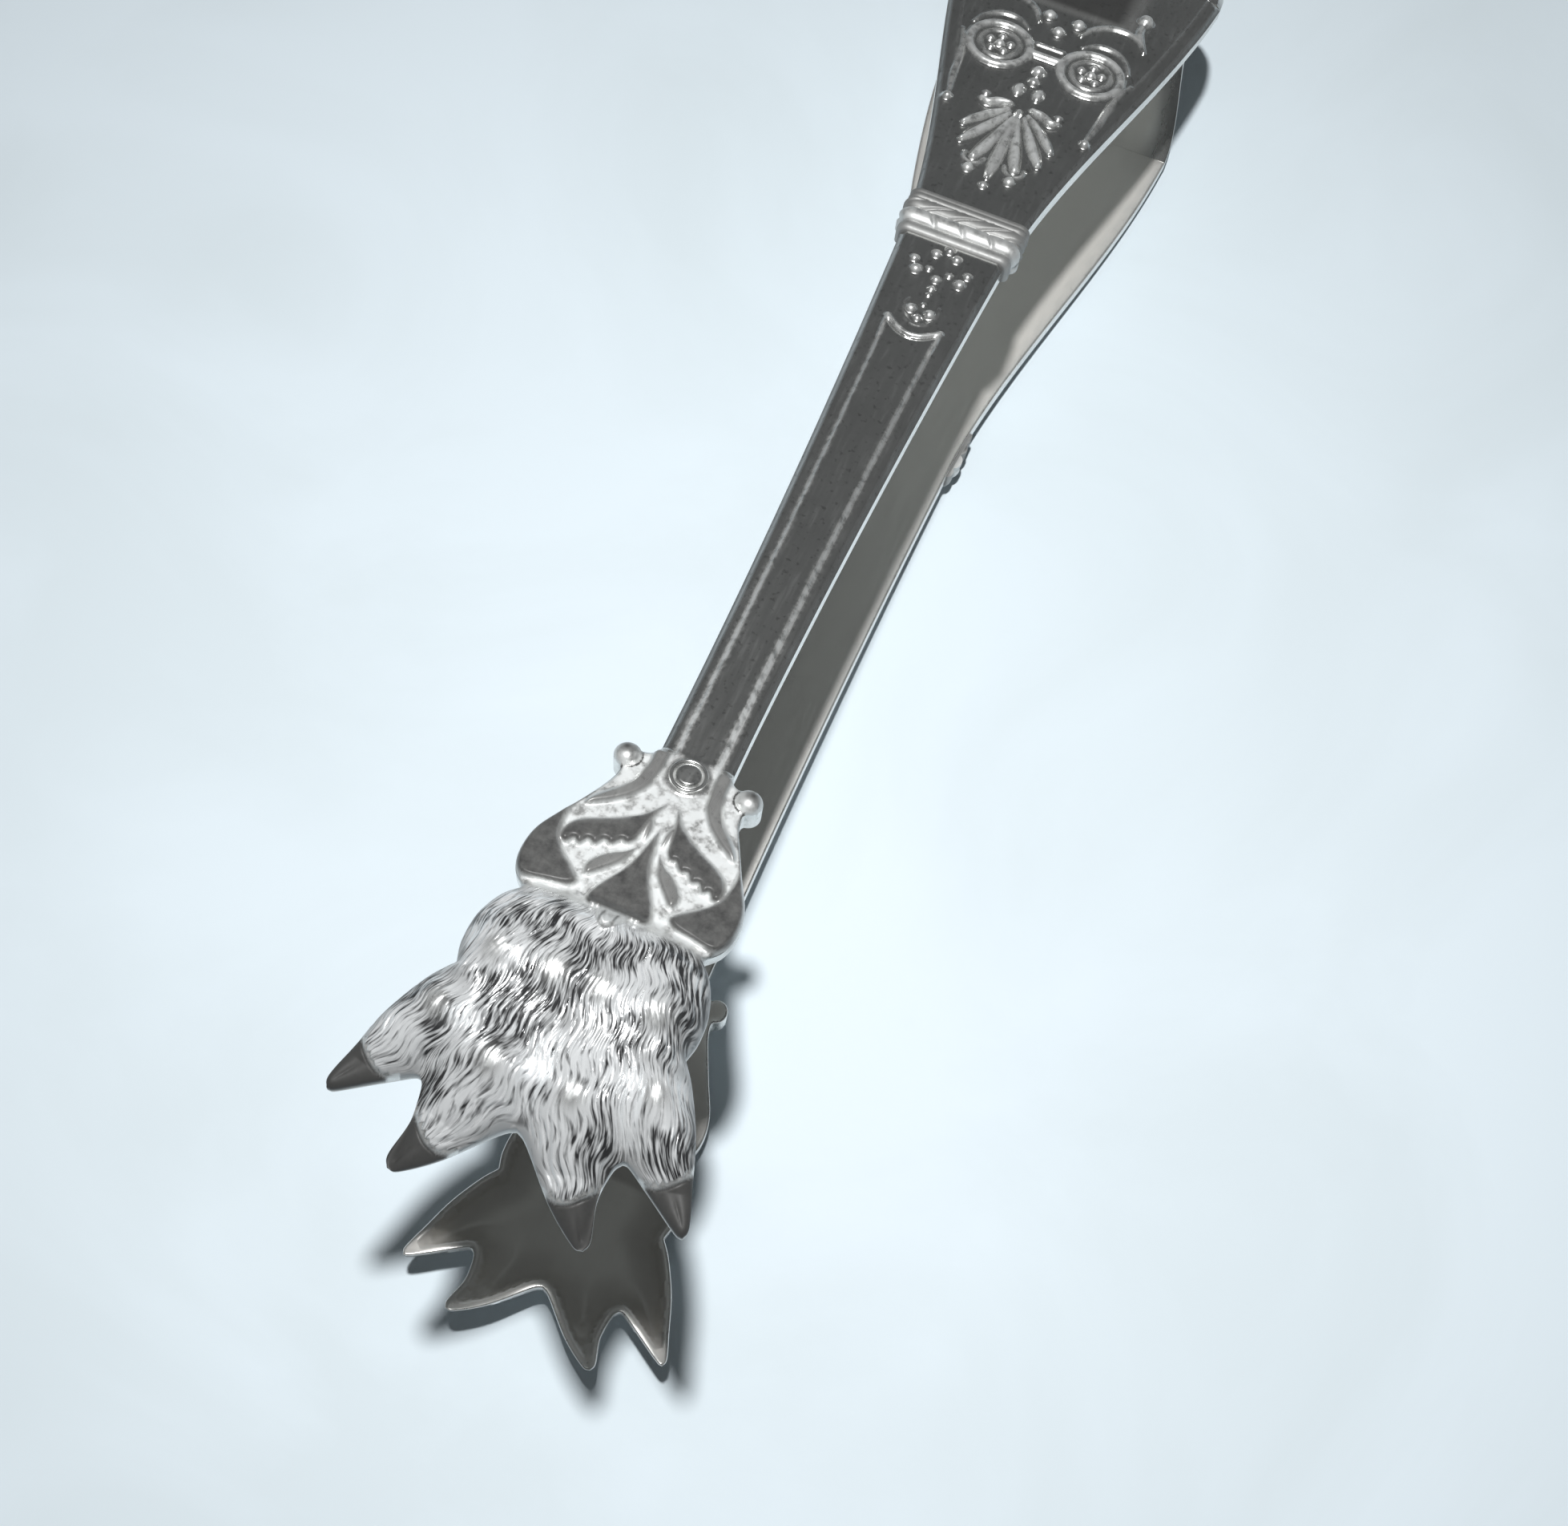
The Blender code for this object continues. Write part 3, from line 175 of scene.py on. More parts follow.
CAMERA_PLACE = (16.876646, -25.083365, 137.102548)
CAMERA_AXES = ((0.925083775, 0.371528392, 0.078655340), (0.368405812, -0.827685007, -0.423337558),
               (-0.092180076, 0.420599791, -0.902551190))

# Curves, distances and rasters


def smooth_curve(points, pitch):
    """Points at about equal steps along a Catmull-Rom curve, both ends included."""
    knots = np.array(points, dtype=float)
    padded = np.vstack([2 * knots[0] - knots[1], knots, 2 * knots[-1] - knots[-2]])
    fine = []
    for a, b, c, d in zip(padded, padded[1:], padded[2:], padded[3:]):
        for t in np.linspace(0.0, 1.0, 20, endpoint=False):
            fine.append(0.5 * (2 * b + (c - a) * t + (2 * a - 5 * b + 4 * c - d) * t ** 2
                               + (3 * b - a - 3 * c + d) * t ** 3))
    fine.append(knots[-1])
    fine = np.array(fine)
    run = np.concatenate([[0.0], np.cumsum(np.linalg.norm(np.diff(fine, axis=0), axis=1))])
    even = np.linspace(0.0, run[-1], max(1, round(run[-1] / pitch)) + 1)
    return np.column_stack([np.interp(even, run, fine[:, k]) for k in range(fine.shape[1])])


def distance_to_path(points, path):
    """Distance to a closed path."""
    starts = np.asarray(path, dtype=float)
    best = np.full(len(points), np.inf)
    for a, b in zip(starts, np.roll(starts, -1, axis=0)):
        run = b - a
        share = clamped((points - a) @ run / max(run @ run, 1e-12))
        gap = points - a - share[:, None] * run
        best = np.minimum(best, gap[:, 0] ** 2 + gap[:, 1] ** 2)
    return np.sqrt(best)


def inside_path(points, path):
    path = np.asarray(path, dtype=float)
    inside = np.zeros(len(points), dtype=bool)
    for (ax, ay), (bx, by) in zip(path, np.roll(path, -1, axis=0)):
        if ay == by:
            continue
        spans = (ay > points[:, 1]) != (by > points[:, 1])
        inside ^= spans & (points[:, 0] < ax + (points[:, 1] - ay) * (bx - ax) / (by - ay))
    return inside


def signed_distance(points, path):
    """Distance to a closed path, positive inside."""
    gap = distance_to_path(points, path)
    return np.where(inside_path(points, path), gap, -gap)


def both_sides(path):
    half = [tuple(p) for p in path]
    mirrored = [(-x, y) for x, y in reversed(half) if abs(x) > 1e-9]
    return np.array(half + mirrored)


def clamped(value):
    return np.clip(value, 0.0, 1.0)


def bell(value, width):
    """1 where the value is 0, and falling away to both sides of it."""
    return np.exp(-(value / width) ** 2)


def ease(value, low, high):
    share = clamped((value - low) / (high - low))
    return share * share * (3 - 2 * share)


def dome(distance, reach):
    """A quarter round: 0 at the edge, 1 from the given reach inwards."""
    share = clamped(distance / reach)
    return np.sqrt(np.maximum(1.0 - (1.0 - share) ** 2, 0.0))


class Relief:
    """A height map over a rectangle, on which ornament is raised piece by piece."""

    def __init__(self, low, high, pitch):
        self.low, self.pitch = np.array(low, float), pitch
        columns, rows = (np.ceil((np.array(high) - self.low) / pitch) + 1).astype(int)
        self.x = self.low[0] + np.arange(columns) * pitch
        self.y = self.low[1] + np.arange(rows) * pitch
        self.map = np.zeros((rows, columns))

    def cells(self):
        gx, gy = np.meshgrid(self.x, self.y)
        return np.column_stack([gx.ravel(), gy.ravel()])

    def window(self, points, margin):
        low = np.floor((points.min(axis=0) - margin - self.low) / self.pitch).astype(int)
        high = np.ceil((points.max(axis=0) + margin - self.low) / self.pitch).astype(int) + 1
        c0, r0 = np.maximum(low, 0)
        c1, r1 = np.minimum(high, (len(self.x), len(self.y)))
        return slice(r0, max(r1, r0)), slice(c0, max(c1, c0))

    def ridge(self, path, widths, heights, sharp=0.5):
        """A ridge along a path, with half-widths and heights at its points, round or with a sharper crest."""
        path = np.array(path, float)
        widths = np.broadcast_to(widths, len(path)).astype(float)
        heights = np.broadcast_to(heights, len(path)).astype(float)
        rows, columns = self.window(path, widths.max())
        gx, gy = np.meshgrid(self.x[columns], self.y[rows])
        if gx.size == 0:
            return
        best = np.zeros(gx.shape)
        for i in range(len(path) - 1):
            a, run = path[i], path[i + 1] - path[i]
            share = clamped(((gx - a[0]) * run[0] + (gy - a[1]) * run[1]) / max(run @ run, 1e-12))
            gap = np.hypot(gx - a[0] - share * run[0], gy - a[1] - share * run[1])
            width = widths[i] + share * (widths[i + 1] - widths[i])
            height = heights[i] + share * (heights[i + 1] - heights[i])
            best = np.maximum(best, height * np.maximum(1 - (gap / np.maximum(width, 1e-3)) ** 2, 0.0) ** sharp)
        self.map[rows, columns] = np.maximum(self.map[rows, columns], best)

    def bead(self, x, y, radius, height, stretch=1.0):
        """A dome on a round or, with stretch, a long base."""
        rows, columns = self.window(np.array([(x, y)]), radius * max(stretch, 1.0))
        gx, gy = np.meshgrid(self.x[columns], self.y[rows])
        gap = np.hypot(gx - x, (gy - y) / stretch) / radius
        self.map[rows, columns] = np.maximum(self.map[rows, columns], height * np.sqrt(np.maximum(1 - gap ** 2, 0.0)))

    def ring(self, x, y, radius, width, height, start=0.0, end=360.0):
        turn = np.radians(np.linspace(start, end, 25))
        self.ridge(np.column_stack([x + radius * np.cos(turn), y + radius * np.sin(turn)]), width, height)

    def at(self, points):
        """Heights at points, between the map's cells."""
        column = np.clip((points[:, 0] - self.low[0]) / self.pitch, 0, len(self.x) - 1.001)
        row = np.clip((points[:, 1] - self.low[1]) / self.pitch, 0, len(self.y) - 1.001)
        c, r = column.astype(int), row.astype(int)
        s, t = column - c, row - r
        m = self.map
        return ((1 - s) * (1 - t) * m[r, c] + s * (1 - t) * m[r, c + 1]
                + (1 - s) * t * m[r + 1, c] + s * t * m[r + 1, c + 1])


def blurred(field, sigma):
    """A map smoothed by a Gaussian whose width is in cells."""
    reach = int(math.ceil(3 * sigma))
    kernel = np.exp(-0.5 * (np.arange(-reach, reach + 1) / sigma) ** 2)
    kernel /= kernel.sum()
    for axis in (0, 1):
        widths = [(reach, reach) if k == axis else (0, 0) for k in (0, 1)]
        padded = np.pad(field, widths, mode="edge")
        total = np.zeros_like(field)
        for i, weight in enumerate(kernel):
            part = [slice(i, i + field.shape[axis]) if k == axis else slice(None) for k in (0, 1)]
            total += weight * padded[tuple(part)]
        field = total
    return field


# Meshes


def grid_points(low, high, pitch):
    """Staggered points over a rectangle whose middle is at x = 0."""
    rows = np.arange(low[1] + 0.5 * pitch, high[1], pitch * math.sqrt(3) / 2)
    count = int(high[0] / pitch) + 2
    points = []
    for number, y in enumerate(rows):
        x = (np.arange(-count, count + 1) + 0.5 * (number % 2)) * pitch
        points.append(np.column_stack([x, np.full(len(x), y)]))
    return np.vstack(points)


def well_inside(points, outline, gap):
    points = points[inside_path(points, outline)]
    return points[distance_to_path(points, outline) > gap]


def inset_ring(outline, inset):
    """Points just inside an outline, left out where they would crowd a corner."""
    run = np.roll(outline, -1, axis=0) - np.roll(outline, 1, axis=0)
    normal = np.column_stack([run[:, 1], -run[:, 0]]) / np.maximum(np.linalg.norm(run, axis=1)[:, None], 1e-9)
    points = outline - normal * inset
    wrong = ~inside_path(points, outline)
    points[wrong] = (outline + normal * inset)[wrong]
    return well_inside(points, outline, 0.85 * inset)


def triangulate(outline, lines, points):
    """Triangles over an outline that follow the lines, and where the outline's own points went."""
    flat = [Vector(p) for p in outline.tolist()]
    edges = []
    for line in lines:
        first = len(flat)
        flat += [Vector(p) for p in np.asarray(line, float).tolist()]
        edges += [(first + i, first + i + 1) for i in range(len(line) - 1)]
    flat += [Vector(p) for p in points.tolist()]
    verts, _, faces, origins, _, _ = delaunay_2d_cdt(flat, edges, [list(range(len(outline)))], 1, 1e-5)
    rim = {source: index for index, sources in enumerate(origins) for source in sources if source < len(outline)}
    return np.array([(v.x, v.y) for v in verts]), faces, [rim[i] for i in range(len(outline))]


def plate(outline, face_points, face_lines, back_points, face_height, back_height):
    """A closed plate: a face and a back of their own triangles, joined by a wall. Returns places, faces and the
    number of places on the face."""
    face_places, face_tris, face_rim = triangulate(outline, face_lines, face_points)
    back_places, back_tris, back_rim = triangulate(outline, [], back_points)
    shift = len(face_places)
    verts = np.vstack([np.column_stack([face_places, face_height(face_places)]),
                       np.column_stack([back_places, back_height(back_places)])])
    faces = [tuple(t) for t in face_tris] + [tuple(shift + i for i in reversed(t)) for t in back_tris]
    for i, j in zip(range(len(outline)), [*range(1, len(outline)), 0]):
        faces.append((face_rim[i], shift + back_rim[i], shift + back_rim[j], face_rim[j]))
    return verts, faces, shift


def to_row(places, side):
    """From the tongs' frame in millimetres to the row's frame in metres; side is 1 above, -1 below."""
    places = np.asarray(places, float)
    y, z = places[:, 1] - BOW_Y, places[:, 2] * side
    c, s = math.cos(REST_ANGLE), math.sin(REST_ANGLE)
    return np.column_stack([places[:, 0], PIVOT[1] + y * c + z * s, PIVOT[2] - y * s + z * c]) * MM


def add_object(name, data):
    made = bpy.data.objects.new(name, data)
    bpy.context.scene.collection.objects.link(made)
    return made


def add_piece(name, verts, faces, side, material, tones):
    mesh = bpy.data.meshes.new(name)
    faces = faces if side > 0 else [tuple(reversed(f)) for f in faces]
    mesh.from_pydata(to_row(verts, side).tolist(), [], faces)
    mesh.validate()
    for key, values in tones:
        attribute = mesh.attributes.new(key, "FLOAT", "POINT")
        attribute.data.foreach_set("value", np.asarray(values, np.float32))
    mesh.shade_smooth()
    mesh.set_sharp_from_angle(angle=CREASE)
    mesh.materials.append(material)
    return add_object(name, mesh)


def face_and_back(inner, **tones):
    """Tones of a plate's places: inner only on the back, the others on the face, or as pairs of both."""
    none = np.zeros(len(inner))
    made = []
    for key, tone in tones.items():
        made.append((key, np.concatenate(tone if isinstance(tone, tuple) else (tone, none))))
    return made + [("inner", np.concatenate([np.zeros(len(made[0][1]) - len(inner)), inner]))]


# Levels and outlines


def rest_line(y):
    return (BOW_RADIUS - (y - BOW_Y) * math.sin(REST_ANGLE)) / math.cos(REST_ANGLE)


SHOULDER_Y = BOW_Y + BOW_RADIUS * math.sin(REST_ANGLE)
SHAFT_SLOPE = (KNEE_HALF_GAP - COLLAR_HALF_GAP) / (COLLAR_Y - KNEE_Y)
LEVEL_CURVE = smooth_curve(LEVEL, 0.25)


def level(y):
    """Height of the arm's outer face, and of the paw's edge, over the middle plane."""
    flat_end = SHOULDER_Y - SHOULDER_FLAT
    arm = np.interp(y, [KNEE_Y, COLLAR_Y, flat_end, SHOULDER_Y],
                    [KNEE_HALF_GAP, COLLAR_HALF_GAP, rest_line(flat_end), rest_line(SHOULDER_Y)])
    paw = np.interp(y, LEVEL_CURVE[:, 0], LEVEL_CURVE[:, 1])
    share = ease(y, 28.0, 38.0)
    return (1 - share) * np.where(y < 39, paw, KNEE_HALF_GAP - SHAFT_SLOPE * (y - KNEE_Y)) + share * arm


def half_width(y):
    shaft = clamped((y - 29.0) / (COLLAR_Y - 29.0))
    flare = clamped((y - COLLAR_Y) / (SHOULDER_Y - COLLAR_Y))
    flare = 0.5 * flare + 0.5 * flare ** 2 * (3 - 2 * flare)
    width = KNEE_HALF_WIDTH + (SHAFT_TOP_HALF_WIDTH - KNEE_HALF_WIDTH) * shaft ** 1.6
    return width + (SHOULDER_HALF_WIDTH - SHAFT_TOP_HALF_WIDTH) * flare


def thickness(y):
    return np.interp(y, [COLLAR_Y, SHOULDER_Y], [ARM_THICKNESS, BOW_THICKNESS])


def panel_edge(x, width):
    """1 on the shaft's raised panel and 0 beside it, with a soft slope between."""
    share = clamped((x - RIDGE_SHARE * width) / RIDGE_SLOPE)
    return 1 - 0.5 * share - 0.5 * share * share * (3 - 2 * share)


def on_slope(side, y):
    """1 in the middle of the slope beside the panel, down to 0 a little outside it."""
    gap = np.abs(side - RIDGE_SHARE * half_width(y) - 0.5 * RIDGE_SLOPE)
    return clamped(1 - gap / (0.5 * RIDGE_SLOPE + 0.06)) ** 0.4


def chamfer(edge):
    """Drop of the arm's face near its edge: a bevel with softened corners."""
    share = clamped(edge / EDGE_BEVEL)
    straight = 1.0 - share
    return 0.9 * EDGE_BEVEL * (0.75 * straight + 0.25 * straight ** 2 * (3 - 2 * straight))


def paw_outline():
    cx, cy, radius = BALL
    arc = [(cx + radius * math.cos(a), cy + radius * math.sin(a)) for a in np.radians(np.linspace(135, -80, 24))]
    half = [(x, SEAM_Y) for x in SEAM_POINTS + (2.5,)]
    half += [tuple(p) for p in smooth_curve(((2.5, SEAM_Y), (2.58, 26.3), (2.85, 25.85), arc[0]), 0.14)[1:-1]] + arc
    for stroke in ((arc[-1],) + CALYX_SIDE, FUR_SIDE, OUTER_TOE_SIDE, OUTER_TOE_INSIDE, INNER_TOE_SIDE,
                   INNER_TOE_INSIDE):
        half += [tuple(p) for p in smooth_curve(stroke, 0.14)[1:]]
    return both_sides(half)


# Paw


def talon_distance(points):
    """Distance past the base of the nearest talon, negative on the fur, for the right half."""
    side = np.column_stack([np.abs(points[:, 0]), points[:, 1]])
    best = np.full(len(points), -9.0)
    for number, base in enumerate(TALON_BASES):
        path = smooth_curve(base, 0.1)
        nearest = np.full(len(points), np.inf)
        signed = np.zeros(len(points))
        for a, b in zip(path, path[1:]):
            run = b - a
            share = clamped((side - a) @ run / (run @ run))
            gap = side - a - share[:, None] * run
            far = np.hypot(gap[:, 0], gap[:, 1])
            cross = run[0] * gap[:, 1] - run[1] * gap[:, 0]
            closer = far < nearest
            signed[closer] = np.where(cross > 0, -far, far)[closer]
            nearest[closer] = far[closer]
        on_toe = side[:, 0] > 6.6 if number == 0 else side[:, 0] < 6.6
        best = np.where(on_toe, signed, best)
    return best


def wave(points):
    """Sideways sway of the fur at places, and how fast it changes with y."""
    x, y = points[:, 0], points[:, 1]
    turn = 2 * math.pi * y / SWAY_LENGTH + 1.5 * np.sin(0.85 * x + 0.5) + 0.7 * np.sin(0.55 * y + 0.3 * x)
    return SWAY * np.sin(turn), SWAY * np.cos(turn) * (2 * math.pi / SWAY_LENGTH)


def flow_place(points):
    """Number of the flow's column at places, between the columns, and the flow's run in x for a step in y."""
    sway, lean = wave(points)
    x = points[:, 0] - sway
    side, y = np.abs(x), points[:, 1]
    here, above = [], []
    for column in FLOW:
        curve = smooth_curve(column, 0.3)[::-1]
        here.append(np.interp(y, curve[:, 0], curve[:, 1]))
        above.append(np.interp(y + 0.15, curve[:, 0], curve[:, 1]))
    here, above = np.array(here), np.array(above)
    number = np.zeros(len(x))
    run = np.zeros(len(x))
    for k in range(len(FLOW) - 1):
        gap = np.maximum(here[k + 1] - here[k], 1e-4)
        share = clamped((side - here[k]) / gap)
        number += share
        inside = (side >= here[k]) & ((side < here[k + 1]) | (k == len(FLOW) - 2))
        slopes = [(above[j] - here[j]) / 0.15 for j in (k, k + 1)]
        run = np.where(inside, (1 - share) * slopes[0] + share * slopes[1], run)
    return number * np.sign(x), np.sign(x) * run + lean


class Fur:
    """Strokes that follow the flow, all traced together on a map of its headings."""

    def __init__(self, low, high):
        self.heading = Relief(low, high, 0.15)
        _, run = flow_place(self.heading.cells())
        self.heading.map = np.arctan2(-1.0, -run).reshape(self.heading.map.shape)

    def strokes(self, starts, lengths, stop_at):
        step = 0.15
        place = starts.copy()
        paths = [place]
        for _ in range(int(lengths.max() / step)):
            angle = self.heading.at(place)
            place = place + step * np.column_stack([np.cos(angle), np.sin(angle)])
            paths.append(place)
        paths = np.array(paths)
        past = talon_distance(paths.reshape(-1, 2)).reshape(paths.shape[:2])
        found = []
        for k in range(len(starts)):
            count = min(len(paths), int(lengths[k] / step) + 1)
            ends = np.nonzero(past[:count, k] > stop_at)[0]
            count = ends[0] if len(ends) else count
            if count >= 4:
                found.append(paths[:count, k])
        return found


def scattered(low, high, across, along, outline):
    """Starting places in staggered rows, a little out of line, inside an outline."""
    places = []
    for row, y in enumerate(np.arange(low[1], high[1], along)):
        for x in np.arange(low[0] + 0.5 * across * (row % 2), high[0], across):
            places.append((x + RNG.uniform(-0.3, 0.3) * across, y + RNG.uniform(-0.5, 0.5) * along))
    places = np.array(places)
    return places[inside_path(places, outline)]


def make_fur(outline):
    """Maps of engraved lines and of the soft hairs between them."""
    low, high = outline.min(axis=0) - 0.3, outline.max(axis=0) + 0.3
    fur = Fur(low, high)
    lines, hairs = Relief(low, high, 0.04), Relief(low, high, 0.05)
    starts = scattered((low[0], -4.2), (high[0], 14.0), 0.42, 1.45, outline)
    for path in fur.strokes(starts, RNG.uniform(1.5, 2.9, len(starts)), -0.3):
        t = np.linspace(0.0, 1.0, len(path))
        body = np.minimum(1.0, 3.2 * t) * np.minimum(1.0, 2.6 * (1 - t) + 0.1)
        lines.ridge(path, RNG.uniform(0.08, 0.12) * (0.4 + 0.6 * body), RNG.uniform(0.6, 1.0) * body, 1.0)
    starts = scattered((low[0], -4.0), (high[0], 14.0), 0.4, 1.5, outline)
    for path in fur.strokes(starts, RNG.uniform(1.4, 2.8, len(starts)), -0.3):
        t = np.linspace(0.0, 1.0, len(path))
        hairs.ridge(path, RNG.uniform(0.15, 0.26) * (0.35 + 0.65 * np.sin(math.pi * t ** 0.7)),
                    RNG.uniform(0.3, 1.0) * (0.3 + 0.7 * t), 0.8)
    hairs.map = blurred(hairs.map, 0.8)
    return lines, hairs


def tooth(value, period):
    """0 between teeth and 1 at their points."""
    share = np.abs(value / period - np.round(value / period)) * 2
    return 1 - share ** 0.8


def paw_shape():
    """Outline of the paw, and a function for the height of its face and the sources of its tones at places."""
    outline = paw_outline()
    low, high = outline.min(axis=0) - 0.3, outline.max(axis=0) + 0.3
    soft = Relief(low, high, 0.12)
    soft.map = blurred(signed_distance(soft.cells(), outline).reshape(soft.map.shape), 3.2)

    lines, hairs = make_fur(outline)
    # Random patches that vary the strands' tone and the painted shade between the knuckles
    soot_patches = Relief(low, high, 0.25)
    soot_patches.map = blurred(RNG.uniform(-1, 1, soot_patches.map.shape), 3.0) * 9

    leaf = Relief(low, high, 0.045)
    cells = leaf.cells()
    halves = np.column_stack([np.abs(cells[:, 0]), cells[:, 1]])
    near = (halves[:, 1] > 11.0) & (halves[:, 0] < 7.6)
    flat = np.zeros(len(cells))
    for path, height, reach in FINGERS:
        gap = signed_distance(halves[near], smooth_curve(path + path[:1], 0.12)[:-1])
        flat[near] = np.maximum(flat[near], height * (0.7 * ease(gap, -0.12, 0.3) + 0.3 * dome(gap, reach)))
    lobe_gap = signed_distance(halves[near], smooth_curve(LOBE + LOBE[:1], 0.15)[:-1])
    lobe = 0.52 * ease(lobe_gap, -0.1, 0.3) + 0.08 * dome(lobe_gap, 1.3)
    leaf_gap = signed_distance(cells[near], both_sides(smooth_curve(LEAF, 0.12)))
    crease = bell(halves[near, 0], 0.1) * ease(leaf_gap, 0.0, 0.5)
    blade = 0.5 * ease(leaf_gap, -0.1, 0.28) + 0.08 * dome(leaf_gap, 1.2) - 0.04 * crease
    flat[near] = np.maximum(flat[near], np.maximum(lobe, blade))
    leaf.map = blurred(flat.reshape(leaf.map.shape), 1.0)

    tongue = []
    for angle in np.radians(np.linspace(-90, 52, 14)):
        tongue.append((1.72 * math.cos(angle), KNEE_Y + 1.72 * math.sin(angle)))
    tongue = both_sides(tongue + [(1.27, SEAM_Y), (1.27, SEAM_Y + 2)])

    def parts(places):
        x, y = places[:, 0], places[:, 1]
        side = np.abs(x)
        raw = np.maximum(distance_to_path(places, outline), 0.0)
        share = ease(raw, 0.2, 0.9)
        edge = (1 - share) * raw + share * np.maximum(soft.at(places), 0.0)
        body = PAW_DOME * dome(edge, PAW_DOME_REACH)
        crest = np.zeros(len(places))
        for kx, ky in KNUCKLES:
            body = body + KNUCKLE_HEIGHT * bell(np.hypot(side - kx, y - ky), KNUCKLE_RADIUS) * dome(raw, 1.5)
            crest = np.maximum(crest, bell(np.hypot(side - kx, y - ky + 0.4), 0.9))
        middle = bell(side, 0.7) * clamped((9.0 - y) / 6.0)
        lean = 6.3 - 0.22 * np.clip(y, 0.0, None)
        outer = bell(side - lean, 0.7) * clamped((8.5 - y) / 5.0)
        body = body - TOE_VALLEY * np.maximum(middle, outer) * dome(raw, 1.2)
        scallop = 7.5 - 0.8 * tooth(side - 0.95 + 0.35 * np.sin(1.7 * x), 1.95)
        fringe = 0.05 * ease(y - scallop, 0.0, 0.5) * (1 - ease(y - scallop, 0.6, 4.0)) * dome(raw, 0.6)
        fall = TOE_FALL * np.clip(TOE_FALL_START + 0.25 * side - y, 0.0, 6.0) ** 2
        body = body - np.minimum(fall, 1.1) * dome(raw, 1.3)
        past = talon_distance(places)
        talon = ease(past, -0.02, 0.12)
        claw = 1.05 * dome(edge, 1.25) + 0.12 * clamped(edge)
        horn = np.minimum(claw, body - 0.2)
        jag = 0.3 * tooth(side + 0.5 * y, 0.5) * (0.6 + 0.4 * np.sin(3.1 * x + y))
        cuticle = ease(past + jag, -0.2, -0.08) * (1 - talon)
        groove = bell(past - 0.05, 0.07) * dome(raw, 0.3)
        hairy = ease(13.75 - 0.05 * side - y, 0.0, 0.5) * (1 - talon) * (1 - cuticle)
        engraved, soft_hair = lines.at(places), hairs.at(places)
        calm = 1 - 0.65 * crest
        skin = body + fringe + hairy * dome(raw, 0.1) * calm * (0.1 * soft_hair - 0.12 * engraved) - 0.07 * cuticle
        paw = (1 - talon) * skin + talon * horn - 0.13 * groove
        field = 0.3 * dome(raw, 0.45)
        ball = BALL[2] ** 2 - (side - BALL[0]) ** 2 - (y - BALL[1]) ** 2
        relief = leaf.at(places)
        # Fall of the relief along y, used for painted light and shade on its slopes
        fall_off = leaf.at(places - (0.0, 0.13)) - leaf.at(places + (0.0, 0.13))
        rise = ease(14.4 - y, 0.0, 2.6)
        under = (1 - rise) * field + rise * paw
        over = relief * (1 - ease(12.3 - y, 0.0, 0.9))
        on_tongue = ease(signed_distance(places, tongue), -0.05, RIDGE_SLOPE)
        boss_land = RIDGE_HEIGHT * on_tongue
        width = half_width(y)
        arm_like = RIDGE_HEIGHT * panel_edge(side, width) - chamfer(np.maximum(width - side, 0.0))
        calyx = np.maximum(under + over * dome(raw, 0.22), boss_land + 0.1)
        calyx = np.maximum(calyx, np.where(ball > 0, 1.05 * np.sqrt(np.maximum(ball, 0.0)) + 0.05, 0.0))
        share = ease(y, 25.9, SEAM_Y)
        height = (1 - share) * np.where(y > 11.4, calyx, paw) + share * arm_like
        return {"raw": raw, "talon": talon, "cuticle": cuticle, "groove": groove, "relief": relief,
                "hairy": hairy * (1 - ease(y, 12.9, 13.7)), "height": np.maximum(height, -0.45), "tongue": on_tongue,
                "engraved": engraved, "patch": soot_patches.at(places), "ball": ball, "side": side, "y": y,
                "share": share, "crest": crest, "lit": np.clip(fall_off / 0.22, -1.0, 1.0)}

    return outline, parts


def paw_rim(y):
    """Depth of the paw's wall below its edge."""
    knee = clamped((y - 0.55 * KNEE_Y) / (0.35 * KNEE_Y))
    tip = clamped(-y / 4.6)
    return PAW_RIM + (ARM_THICKNESS - PAW_RIM) * knee ** 2 * (3 - 2 * knee) + (TALON_TIP_RIM - PAW_RIM) * tip


